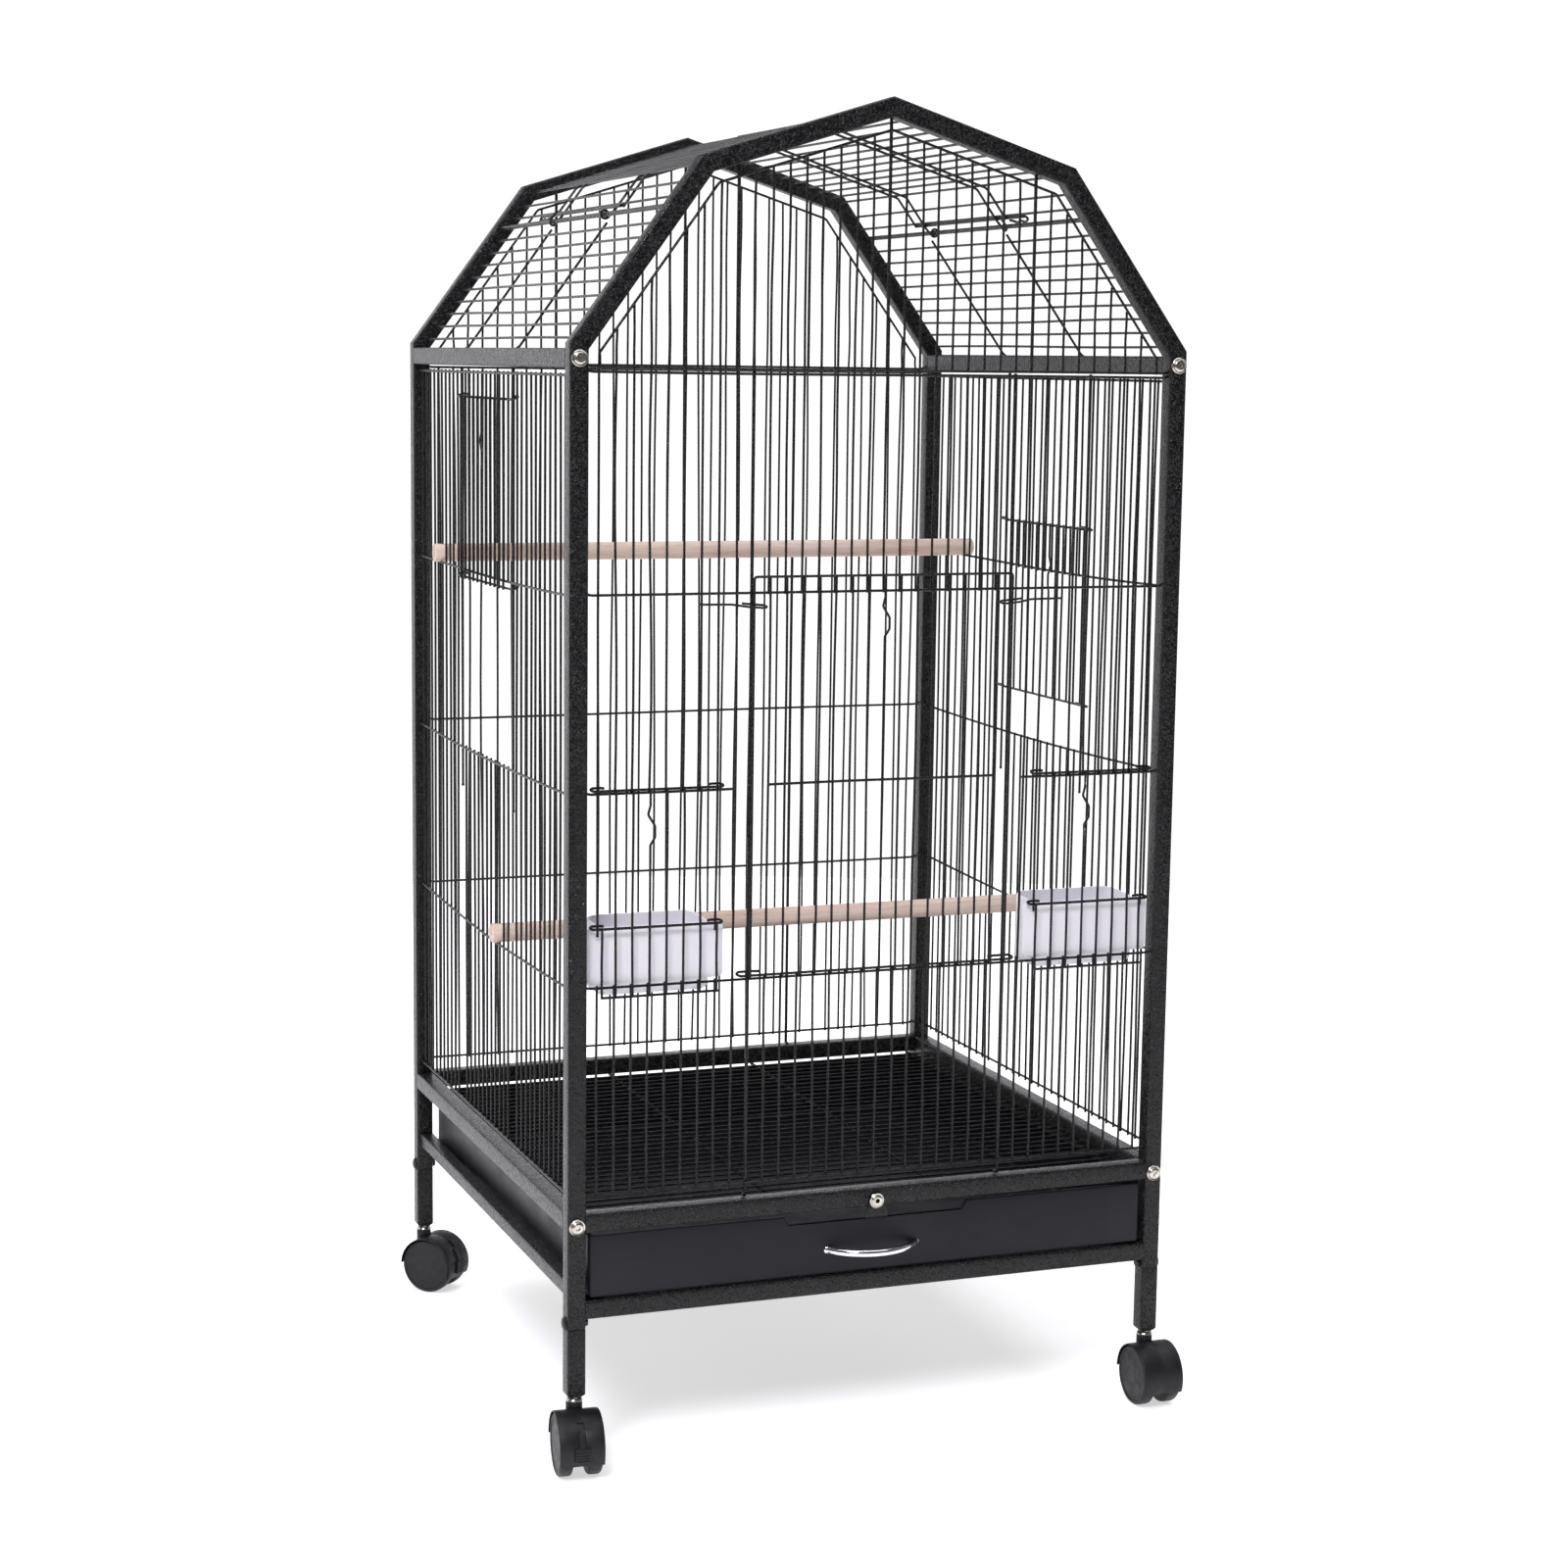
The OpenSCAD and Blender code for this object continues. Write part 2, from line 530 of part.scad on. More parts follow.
front_frame();
back_frame();
top_side_rails();
bottom_side_rails();
tray_runners();
roof_tie_rods();
leg_fl();
leg_fr();
leg_bl();
leg_br();
leg_bolts();
frame_bolts();
front_panel();
back_panel();
left_panel();
right_panel();
front_gable();
back_gable();
roof_panel_left();
roof_panel_right();
floor_grate();
main_door();
main_door_clips();
feeder_door_left();
feeder_door_right();
side_door_left();
side_door_right();
roof_hatch_left();
roof_hatch_right();
upper_perch();
lower_perch();
feeder_cup_left();
feeder_cup_right();
tray();
tray_handle();
tray_handle_screws();
tray_catch();
tray_catch_bolt();
caster_stems();
hood_fl();
hood_fr();
hood_bl();
hood_br();
axle_fl();
axle_fr();
axle_bl();
axle_br();
wheel_fl_a();
wheel_fl_b();
wheel_fr_a();
wheel_fr_b();
wheel_bl_a();
wheel_bl_b();
wheel_br_a();
wheel_br_b();
brake_fl();
brake_bl();
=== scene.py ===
# Bird cage on a wheeled stand: the visible model, its materials, lights and camera.
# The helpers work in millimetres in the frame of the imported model; Shape.piece() turns them into metres.
import math
import random

import bpy
import bmesh
from mathutils import Matrix, Vector


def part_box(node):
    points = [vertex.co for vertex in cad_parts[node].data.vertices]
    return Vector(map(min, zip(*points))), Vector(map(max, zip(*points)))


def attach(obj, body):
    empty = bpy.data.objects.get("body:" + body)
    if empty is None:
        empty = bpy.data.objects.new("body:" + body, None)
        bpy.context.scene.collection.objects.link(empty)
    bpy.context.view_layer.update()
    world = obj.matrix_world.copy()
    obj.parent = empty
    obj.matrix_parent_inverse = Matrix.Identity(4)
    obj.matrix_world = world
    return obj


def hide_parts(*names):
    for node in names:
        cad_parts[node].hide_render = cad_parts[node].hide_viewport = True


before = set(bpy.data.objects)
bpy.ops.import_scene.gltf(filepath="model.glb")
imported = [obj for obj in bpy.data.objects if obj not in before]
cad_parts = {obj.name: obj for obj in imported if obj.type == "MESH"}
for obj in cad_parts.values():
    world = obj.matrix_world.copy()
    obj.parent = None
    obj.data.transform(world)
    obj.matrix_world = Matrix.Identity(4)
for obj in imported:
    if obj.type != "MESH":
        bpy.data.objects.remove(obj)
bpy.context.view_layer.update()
scene = bpy.context.scene
rng = random.Random(11)


def mm_box(node):
    lo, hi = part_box(node)
    return [c * 1000 for c in lo], [c * 1000 for c in hi]


# ---------- sizes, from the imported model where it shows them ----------
front_lo, front_hi = mm_box("front_frame")
TUBE = 15.0
HX, HY, RIDGE = front_hi[0], -front_lo[1], front_hi[2]
PX, PY, IX, IY = HX - TUBE / 2, HY - TUBE / 2, HX - TUBE, HY - TUBE
LEG_JOINT = front_lo[2]
EAVES, KNEE_X, KNEE_Z = 882.0, 156.0, 1024.0
SILL, LOW_RAIL = mm_box("bottom_side_rails")[1][2], 138.0
TOP_RAIL = mm_box("top_side_rails")[1][2]
LEG_Z = mm_box("leg_fl")[0][2]
FP, SP = 13.83, 2 * IY / 35
BAR, WIRE, GUIDE = 1.05, 1.1, 1.45
THIN, CROSS, OUT, DOOR, EDGE, FACE = 0.5, 2.52, 2.6, 4.72, 4.85, 6.7
ROW1, ROW2, ROW3, FOOT, HEAD, GABLE, DROP = 692.0, 539.0, 387.0, 220.0, 860.6, 864.2, 3.0
DOOR_TOP, DOOR_HALF, CLIP_Z = 704.5, 110.2, 682.5
CLOSED = ROW2 + 2 * WIRE + 0.05
SIDE_H = 152.0
GRATE = 195.5
A1 = math.atan2(KNEE_Z - EAVES, HX - KNEE_X)
A2 = math.atan2(RIDGE - KNEE_Z, KNEE_X)
RL, UL = math.hypot(HX - KNEE_X, KNEE_Z - EAVES), math.hypot(KNEE_X, RIDGE - KNEE_Z)
KA = (A1 + A2) / 2
KX, KZ = math.sin(KA) / math.cos((A1 - A2) / 2), math.cos(KA) / math.cos((A1 - A2) / 2)
HOOK_Y, CATCH_Y, ROD_S, ROD_D = 76.0, 95.0, RL - 44, 5.0
CATCH = SILL - 10.0
AXLE = 25.0
TRAIL = 12.0


def low(s, d):
    """x, z at s up the lower slope of the roof and d inside its outer face."""
    return (HX - s * math.cos(A1) - d * math.sin(A1), EAVES + s * math.sin(A1) - d * math.cos(A1))


def up(s, d):
    """x, z at s up the upper slope from the knee."""
    return (KNEE_X - s * math.cos(A2) - d * math.sin(A2), KNEE_Z + s * math.sin(A2) - d * math.cos(A2))


def outline(i, d):
    """Corner i of the arch, d inside the outer face: post foot, eaves, knee, ridge."""
    return [(HX - d, LEG_JOINT), (HX - d, EAVES - d * math.tan(math.pi / 4 - A1 / 2)),
            (KNEE_X - d * KX, KNEE_Z - d * KZ), (0.0, RIDGE - d / math.cos(A2))][i]


ROD = low(ROD_S, ROD_D)


def roof_z(x, d):
    eaves, knee, ridge = outline(1, d), outline(2, d), outline(3, d)
    if abs(x) > knee[0]:
        return eaves[1] + (eaves[0] - abs(x)) * math.tan(A1)
    return ridge[1] - abs(x) * math.tan(A2)


# ---------- materials ----------
def linear(code):
    c = [int(code[i:i + 2], 16) / 255 for i in (0, 2, 4)]
    return [v / 12.92 if v <= 0.04045 else ((v + 0.055) / 1.055) ** 2.4 for v in c] + [1.0]


class Mat:
    """Principled material whose colour, roughness and bump come from noise in object coordinates."""

    def __init__(self, name, rough=0.4, **constants):
        self.m = bpy.data.materials.new(name)
        self.m.use_nodes = True
        self.t = self.m.node_tree
        self.p = self.t.nodes["Principled BSDF"]
        self.p.inputs["Roughness"].default_value = rough
        for key, value in constants.items():
            self.p.inputs[key.replace("_", " ")].default_value = value
        self.space = self.node("ShaderNodeTexCoord").outputs["Object"]
        self.normal = None

    def node(self, kind, **props):
        n = self.t.nodes.new(kind)
        for key, value in props.items():
            setattr(n, key, value)
        return n

    def link(self, a, b):
        self.t.links.new(a, b)

    def stretched(self, scale):
        n = self.node("ShaderNodeMapping")
        n.inputs["Scale"].default_value = scale
        self.link(self.space, n.inputs["Vector"])
        return n.outputs["Vector"]

    def noise(self, scale, detail=2.0, rough=0.5, distort=0.0, space=None):
        n = self.node("ShaderNodeTexNoise")
        n.inputs["Scale"].default_value = scale
        n.inputs["Detail"].default_value = detail
        n.inputs["Roughness"].default_value = rough
        n.inputs["Distortion"].default_value = distort
        self.link(space or self.space, n.inputs["Vector"])
        return n.outputs["Fac"]

    def ramp(self, fac, *stops):
        n = self.node("ShaderNodeValToRGB")
        e = n.color_ramp.elements
        while len(e) < len(stops):
            e.new(0.5)
        for slot, (pos, code) in zip(e, stops):
            slot.position, slot.color = pos, linear(code) if isinstance(code, str) else (code, code, code, 1)
        self.link(fac, n.inputs["Fac"])
        return n.outputs["Color"]

    def colour(self, fac, *stops):
        self.link(self.ramp(fac, *stops), self.p.inputs["Base Color"])
        return self

    def gloss(self, fac, a, b, lo=0.35, hi=0.65):
        n = self.node("ShaderNodeMapRange")
        for i, v in enumerate((lo, hi, a, b)):
            n.inputs[i + 1].default_value = v
        self.link(fac, n.inputs[0])
        self.link(n.outputs[0], self.p.inputs["Roughness"])
        return self

    def bump(self, height, strength, distance):
        n = self.node("ShaderNodeBump")
        n.inputs["Strength"].default_value = strength
        n.inputs["Distance"].default_value = distance
        self.link(height, n.inputs["Height"])
        if self.normal:
            self.link(self.normal, n.inputs["Normal"])
        self.normal = n.outputs["Normal"]
        self.link(self.normal, self.p.inputs["Normal"])
        return self


def hammertone(name, dark, light, cell, strength, rough):
    """Wrinkled coating: worm-like ridges a couple of millimetres across with finer grain on them."""
    m = Mat(name, rough, Specular_IOR_Level=0.36)
    wide, fine = m.noise(cell * 0.5, 2, 0.55, 0.8), m.noise(cell * 3.1, 2, 0.5)
    worms = m.ramp(m.noise(cell, 1, 0.4, 1.4), (0.42, 0.0), (0.58, 1.0))
    m.colour(wide, (0.35, dark), (0.7, light))
    m.gloss(fine, rough - 0.08, rough + 0.1)
    m.bump(worms, strength, 0.0008)
    m.bump(fine, strength * 0.4, 0.0002)
    return m


FRAME = hammertone("frame_hammertone", "08080a", "0e0e11", 300, 1.0, 0.3)
WIRE_MAT = hammertone("wire_coating", "070709", "0c0c0e", 480, 0.6, 0.26)
BLACKBOLT = hammertone("black_zinc", "0e0e10", "17171a", 900, 0.15, 0.38)
NICKEL = Mat("nickel", 0.22, Metallic=1.0)
NICKEL.colour(NICKEL.noise(160, 3), (0.3, "b3aea6"), (0.75, "d9d5ce"))
NICKEL.gloss(NICKEL.noise(500, 3), 0.16, 0.3).bump(NICKEL.noise(900, 3), 0.12, 0.0001)
CHROME = Mat("chrome", 0.08, Metallic=1.0)
CHROME.colour(CHROME.noise(60, 2), (0.3, "dcdce2"), (0.8, "f0f0f4"))
CHROME.gloss(CHROME.noise(300, 4), 0.05, 0.12).bump(CHROME.noise(240, 3), 0.05, 0.0001)
STEEL = Mat("axle_steel", 0.35, Metallic=1.0)
STEEL.colour(STEEL.noise(220, 3), (0.3, "77777d"), (0.75, "a3a3a9")).bump(STEEL.noise(900, 3), 0.15, 0.0001)
TRAY = Mat("tray_paint", 0.42, Specular_IOR_Level=0.22)
TRAY.colour(TRAY.noise(7, 3), (0.35, "101017"), (0.7, "16161e"))
TRAY.gloss(TRAY.noise(26, 4), 0.36, 0.5)
TRAY.bump(TRAY.noise(1200, 3), 0.14, 0.0002).bump(TRAY.noise(9, 1), 0.1, 0.002)
PLASTIC = Mat("caster_plastic", 0.5, Specular_IOR_Level=0.35)
PLASTIC.colour(PLASTIC.noise(40, 3), (0.3, "101013"), (0.75, "18171b"))
PLASTIC.gloss(PLASTIC.noise(180, 3), 0.42, 0.58).bump(PLASTIC.noise(1600, 2), 0.22, 0.00025)
CUP = Mat("cup_plastic", 0.38)
CUP.colour(CUP.noise(14, 2), (0.3, "e9e6ee"), (0.75, "f0eef4"))
CUP.gloss(CUP.noise(90, 3), 0.32, 0.46).bump(CUP.noise(35, 2), 0.08, 0.001)
WOOD = Mat("perch_wood", 0.62, Specular_IOR_Level=0.35)
grain = WOOD.noise(34, 5, 0.62, 0.4, WOOD.stretched((1.2, 16, 16)))
streak = WOOD.noise(20, 3, 0.6, 0.2, WOOD.stretched((0.35, 5, 5)))
mixed = WOOD.node("ShaderNodeMath", operation="MULTIPLY_ADD")
WOOD.link(grain, mixed.inputs[0])
mixed.inputs[1].default_value = 0.55
WOOD.link(streak, mixed.inputs[2])
WOOD.colour(mixed.outputs[0], (0.5, "bd9f8d"), (0.72, "d3bbac"), (1.0, "e2d1c6"))
WOOD.bump(grain, 0.35, 0.0005).bump(WOOD.noise(700, 3), 0.15, 0.0002)

SLOTS = {"frame": FRAME, "wire": WIRE_MAT, "tray": TRAY, "chrome": CHROME, "nickel": NICKEL,
         "blackbolt": BLACKBOLT, "perch": WOOD, "cup": CUP, "casterplastic": PLASTIC, "axlesteel": STEEL}


# ---------- mesh helpers ----------
class Shape:
    """Closed tubes, lofts and lathes collected into one mesh, in millimetres."""

    def __init__(self):
        self.v, self.f, self.place = [], [], Matrix()

    def at(self, x=0, y=0, z=0, turn=0):
        self.place = Matrix.Translation((x, y, z)) @ Matrix.Rotation(math.radians(turn), 4, "Z")
        return self

    def loft(self, loops, ring=False):
        n, m, b = len(loops[0]), len(loops), len(self.v)
        self.v += [self.place @ Vector(p) for lp in loops for p in lp]
        for i in range(m if ring else m - 1):
            for j in range(n):
                k, q = (j + 1) % n, (i + 1) % m
                self.f.append((b + i * n + j, b + i * n + k, b + q * n + k, b + q * n + j))
        if not ring:
            self.f += [tuple(range(b + n - 1, b - 1, -1)), tuple(range(b + (m - 1) * n, b + m * n))]
        return self

    def wire(self, pts, r, sides=8, ring=False, blunt=0.35):
        """A round wire along points; its cut ends are slightly rounded."""
        pts = [Vector(p) for p in pts]
        if not ring:
            a, z = (pts[1] - pts[0]).normalized(), (pts[-1] - pts[-2]).normalized()
            pts = [pts[0], pts[0] + a * r * blunt] + pts[1:-1] + [pts[-1] - z * r * blunt, pts[-1]]
        n, loops, side = len(pts), [], None
        angles = [2 * math.pi * j / sides for j in range(sides)]
        for i, p in enumerate(pts):
            before = pts[i - 1] if i or ring else None
            after = pts[(i + 1) % n] if i < n - 1 or ring else None
            ahead = (after - p).normalized() if after else Vector()
            behind = (p - before).normalized() if before else Vector()
            d = ahead + behind
            d.normalize()
            if side is None:
                side = d.orthogonal()
            side = (side - d * side.dot(d)).normalized()
            other = d.cross(side)
            k = 1 - blunt if not ring and i in (0, n - 1) else 1
            loops.append([p + (side * math.cos(t) + other * math.sin(t)) * r * k for t in angles])
        return self.loft(loops, ring)

    def bar(self, p, q, r, wave=0.4, way=(0, 0, 1), sides=8, steps=9):
        """A long straight wire with slight hand-made bends along way and much slighter ones square to it."""
        p, q, a = Vector(p), Vector(q), Vector(way)
        d = q - p
        a = (a - d * (a.dot(d) / d.length_squared)).normalized()
        b = d.normalized().cross(a)
        wa, ca, ea, wb, lean = [rng.gauss(0, wave * k) for k in (0.7, 0.5, 0.25, 0.12, 0.35)]
        pts = []
        for i in range(steps + 1):
            t = i / steps
            s1, s2, s3 = [math.sin(math.pi * k * t) for k in (1, 2, 3)]
            pts.append(p + d * t + a * (wa * s1 + ca * s2 + ea * s3 + lean * (t - 0.5)) + b * wb * s1)
        return self.wire(pts, r, sides)

    def lathe(self, centre, axis, profile, steps=32):
        """profile is (along the axis, radius) pairs from one end to the other."""
        axis, c = Vector(axis).normalized(), Vector(centre)
        a = axis.orthogonal().normalized()
        b = axis.cross(a)
        return self.loft([[c + axis * h + (a * math.cos(t) + b * math.sin(t)) * r
                           for t in [2 * math.pi * i / steps for i in range(steps)]] for h, r in profile])

    def mitred(self, path, across, w=TUBE, corner=1.7):
        """A square tube with rounded corners along a flat path; across is square to that plane."""
        across = Vector(across).normalized()
        path = [Vector(p) for p in path]
        section = square(w, corner)
        loops = []
        for i, p in enumerate(path):
            a = (p - path[i - 1]).normalized() if i else None
            b = (path[i + 1] - p).normalized() if i < len(path) - 1 else None
            if a and b:
                n1, n2 = across.cross(a), across.cross(b)
                n = (n1 + n2) / (1 + n1.dot(n2))
            else:
                n = across.cross(a or b)
            loops.append([p + n * u + across * v for u, v in section])
        return self.loft(loops)

    def piece(self, name, slot, body, *nodes, angle=38, bevel=0):
        me = bpy.data.meshes.new(name)
        me.from_pydata([p * 0.001 for p in self.v], [], self.f)
        bm = bmesh.new()
        bm.from_mesh(me)
        bmesh.ops.recalc_face_normals(bm, faces=bm.faces)
        bm.to_mesh(me)
        bm.free()
        me.shade_smooth()
        me.set_sharp_from_angle(angle=math.radians(angle))
        ob = bpy.data.objects.new(name, me)
        scene.collection.objects.link(ob)
        ob.data.materials.append(SLOTS[slot].m)
        if bevel:
            mod = ob.modifiers.new("edge", "BEVEL")
            mod.width, mod.segments = bevel * 0.001, 2
            mod.limit_method, mod.angle_limit = "ANGLE", math.radians(angle)
        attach(ob, body)
        if nodes:
            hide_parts(*nodes)
        return ob


def square(w, corner, steps=3):
    h, out = w / 2, []
    for sx, sy, start in ((1, 1, 0), (-1, 1, 90), (-1, -1, 180), (1, -1, 270)):
        for i in range(steps + 1):
            t = math.radians(start + 90 * i / steps)
            out.append((sx * (h - corner) + corner * math.cos(t), sy * (h - corner) + corner * math.sin(t)))
    return out


def bend(pts, R, steps=5):
    """The polyline with its corners rounded."""
    pts = [Vector(p) for p in pts]
    out = [pts[0]]
    for a, b, c in zip(pts, pts[1:], pts[2:]):
        u, v = (a - b), (c - b)
        ang = u.angle(v)
        t = min(R / math.tan(ang / 2), u.length * 0.49, v.length * 0.49)
        p, q = b + u.normalized() * t, b + v.normalized() * t
        for i in range(steps + 1):
            k = i / steps
            out.append(p * (1 - k) ** 2 + b * 2 * k * (1 - k) + q * k * k)
    return out + [pts[-1]]


def turn(c, a, b, R, t0, t1, lift=(0, 0, 0), steps=14):
    """Points on an arc in the plane of a and b; lift is how far the arc climbs on the way."""
    c, a, b, lift = Vector(c), Vector(a), Vector(b), Vector(lift)
    return [c + (a * math.cos(t) + b * math.sin(t)) * R + lift * (i / steps)
            for i, t in enumerate(math.radians(t0 + (t1 - t0) * i / steps) for i in range(steps + 1))]


# ---------- frame ----------
def arch(t, name, node):
    s = Shape()
    y = t * PY
    c = TUBE / 2
    path = [outline(i, c) for i in range(4)]
    s.mitred([(-x, y, z) for x, z in path] + [(x, y, z) for x, z in path[2::-1]], (0, 1, 0))
    for z in (SILL, LOW_RAIL):
        s.mitred([(-IX - 0.5, y, z - c), (IX + 0.5, y, z - c)], (0, 1, 0))
    s.piece(name, "frame", "cage", node)


arch(-1, "front_arch", "front_frame")
arch(1, "back_arch", "back_frame")
for z, node in ((TOP_RAIL, "top_side_rails"), (SILL, "bottom_side_rails")):
    s = Shape()
    for k in (-1, 1):
        s.mitred([(k * PX, -IY - 0.5, z - TUBE / 2), (k * PX, IY + 0.5, z - TUBE / 2)], (1, 0, 0))
        if z == SILL:
            # a narrow lip under the rail covers the gap beside the tray
            lip = [(k * (IX + a), z - TUBE + b) for a, b in ((0.1, -6), (1, -6), (1, 0.2), (0.1, 0.2))]
            s.loft([[(x, y, v) for x, v in lip] for y in (-IY, IY)])
    s.piece(node + "_tube", "frame", "cage", node)
s = Shape()
for k in (-1, 1):
    x = k * (IX + 6)
    s.mitred([(x, -IY, LOW_RAIL + 6), (x, IY, LOW_RAIL + 6)], (1, 0, 0), 12, 1.4)
    lip = [(k * (IX - 18.5), LOW_RAIL + 0.9), (k * (IX - 18.5), LOW_RAIL - 1), (k * (IX - 0.5), LOW_RAIL - 1),
           (k * (IX - 0.5), LOW_RAIL + 0.9)]
    s.loft([[(u, y, v) for u, v in lip] for y in (-IY, IY)])
s.piece("tray_runner_rails", "frame", "cage", "tray_runners", bevel=0.3)
s = Shape()
for k in (-1, 1):
    s.wire([(k * ROD[0], -IY - 1, ROD[1]), (k * ROD[0], 0, ROD[1]), (k * ROD[0], IY + 1, ROD[1])], 2, 16)
s.piece("tie_rods", "frame", "cage", "roof_tie_rods")

for node, a, b in (("leg_fl", -1, -1), ("leg_fr", 1, -1), ("leg_bl", -1, 1), ("leg_br", 1, 1)):
    s = Shape()
    x, y = a * PX, b * PY
    loops = []
    for z, w, r in ((LEG_Z, 9.2, 2.0), (LEG_Z + 0.3, 9.9, 2.0), (LEG_Z + 2.8, 14.6, 1.8),
                    (LEG_Z + 3.5, TUBE, 1.7), (LEG_JOINT - 1.2, TUBE, 1.7),
                    (LEG_JOINT - 0.4, 14.5, 1.6), (LEG_JOINT - 0.4, 12.8, 1.2),
                    (LEG_JOINT + 36, 12.8, 1.2)):
        loops.append([(x + u, y + v, z) for u, v in square(w, r)])
    s.loft(loops)
    s.piece(node + "_tube", "frame", "cage", node, angle=30)


# ---------- screws ----------
def recess(s, c, axis, rim, socket, depth, steps=24, lobes=6):
    """A domed head with a hexagon socket, built as one loft along its axis."""
    axis, c = Vector(axis).normalized(), Vector(c)
    a = axis.orthogonal().normalized()
    b = axis.cross(a)

    def circle(h, r):
        return [c + axis * h + (a * math.cos(t) + b * math.sin(t)) * r
                for t in [2 * math.pi * i / steps for i in range(steps)]]

    def hexagon(h, r):
        out = []
        for i in range(steps):
            t = 2 * math.pi * i / steps
            k = math.cos(math.pi / lobes) / math.cos((t % (2 * math.pi / lobes)) - math.pi / lobes)
            out.append(c + axis * h + (a * math.cos(t) + b * math.sin(t)) * r * k)
        return out
    top = rim[-1][0]
    socket_loops = [hexagon(top - 0.05, socket), hexagon(top - depth, socket * 0.92)]
    s.loft([circle(h, r) for h, r in rim] + socket_loops)


# outlines of hardware for lathe(): (along the axis, radius)
WASHER = [(0, 6.0), (0, 6.5), (0.5, 6.75), (1.1, 6.55), (1.5, 6.0), (1.35, 5.3), (1.2, 5.0)]
DOME = [(0, 5.2), (0.4, 5.6), (1.0, 5.4), (1.9, 4.3), (2.5, 2.6), (2.7, 0.8)]
LEG_NUT = [(0, 3.7), (0.4, 4.0), (2.4, 4.0), (3.1, 3.4)]
s = Shape()
for k in (-1, 1):
    for z in (TOP_RAIL - TUBE / 2, SILL - 9.5):
        for t in (-1, 1):
            c, n = (k * PX, t * HY, z), (0, t, 0)
            s.lathe(c, n, WASHER, 40)
            recess(s, c, n, [(1.1, 4.9), (1.7, 5.0), (2.4, 4.6), (2.85, 3.7), (3.0, 2.6)], 2.2, 1.7)
s.piece("corner_screws", "nickel", "cage", "frame_bolts", angle=45)
s = Shape()
for k in (-1, 1):
    for t in (-1, 1):
        x, y, z = k * PX, t * PY, LEG_JOINT + 3.4
        s.lathe((x + k * TUBE / 2, y, z), (k, 0, 0), DOME, 32)
        s.lathe((x - k * TUBE / 2, y, z), (-k, 0, 0), LEG_NUT, 6)
s.piece("leg_screws", "blackbolt", "cage", "leg_bolts")


# ---------- wire panels ----------
# The thin bars stand a little outside the guides, and the cross wires lie outside the bars.
PERCH_Y = sum(mm_box("lower_perch")[k][1] for k in (0, 1)) / 2


def strung(s, at, half):
    """A cross wire through at(u), u from -half to half; its ends curl up where they meet the posts."""
    wa, wb = rng.gauss(0, 0.25), rng.gauss(0, 0.2)
    pts = []
    for i in range(25):
        u = (half - 5) * (i / 12 - 1)
        wave = wa * math.cos(math.pi * u / half / 2) + wb * math.sin(math.pi * u / half)
        pts.append(Vector(at(u)) + Vector((0, 0, wave)))
    curl = ((half - 2, 0.3), (half + 0.4, 1.2), (half + 1.5, 2.0))
    tips = [[Vector(at(k * u)) + Vector((0, 0, rise)) for u, rise in curl] for k in (-1, 1)]
    s.wire(tips[0][::-1] + pts + tips[1], WIRE)


def sag(z, y):
    """Height of a side cross wire at y: the wires that carry perches hang a little."""
    if z == ROW3:
        return z - 5.35 + 5.35 * (abs(y - PERCH_Y) / (IY - math.copysign(PERCH_Y, y - PERCH_Y))) ** 1.5
    if z == ROW1:
        return z - 3.4 + 2.4 * (abs(y) / 239) ** 1.7
    if z == ROW2:
        return z - 4.8 + 3.2 * (abs(y) / 239) ** 1.8
    return z - DROP if z == HEAD else z


def guide(s, x, y, top, inward):
    """A thick guide bar whose foot bends inwards onto the rail."""
    foot = Vector((x, y, SILL + GUIDE + 0.1)) + Vector(inward) * 5.5
    s.wire(bend([(x, y, top), (x, y, 500), (x, y, SILL + GUIDE + 0.2), foot], 2), GUIDE, 10)


s = Shape()
for i in range(-17, 18):
    x, m = i * FP, abs(i)
    if m == 8:
        guide(s, x, -PY, GABLE - 1.5, (0, 1, 0))
        continue
    spans = ((FOOT - 1.5, HEAD + 1.2),)
    if m < 8:
        spans = ((FOOT - 1.5, ROW3 + 1.5), (ROW1 - 1.5, HEAD + 1.2))
    elif m >= 10:
        spans = ((FOOT - 1.5, ROW3 + 1.5), (ROW2 - 112 if m in (10, 17) else ROW2 - 1.5, HEAD + 1.2))
    for a, b in spans:
        s.bar((x, -PY - THIN, a), (x, -PY - THIN, b), BAR, 0.0023 * (b - a), (1, 0, 0))
for z in (HEAD, ROW1, ROW3, FOOT):
    strung(s, lambda u: (u, -PY - CROSS, z), IX)
for k in (-1, 1):
    run = ((8.9 * FP, 0), (150, -0.2), (IX - 4, 0), (IX - 1, 0.6), (IX + 1, 1.5))
    s.wire([(k * u, -PY - CROSS, ROW2 + rise) for u, rise in run], WIRE)
s.piece("front_wires", "wire", "cage", "front_panel")

s = Shape()
for i in range(-17, 18):
    if abs(i) == 8:
        guide(s, i * FP, PY, GABLE - 1.5, (0, -1, 0))
    else:
        s.bar((i * FP, PY + THIN, FOOT - 1.5), (i * FP, PY + THIN, HEAD + 1.2), BAR, 1.5, (1, 0, 0))
for z in (HEAD, ROW2, ROW3, FOOT):
    strung(s, lambda u: (u, PY + CROSS, z), IX)
s.piece("back_wires", "wire", "cage", "back_panel")

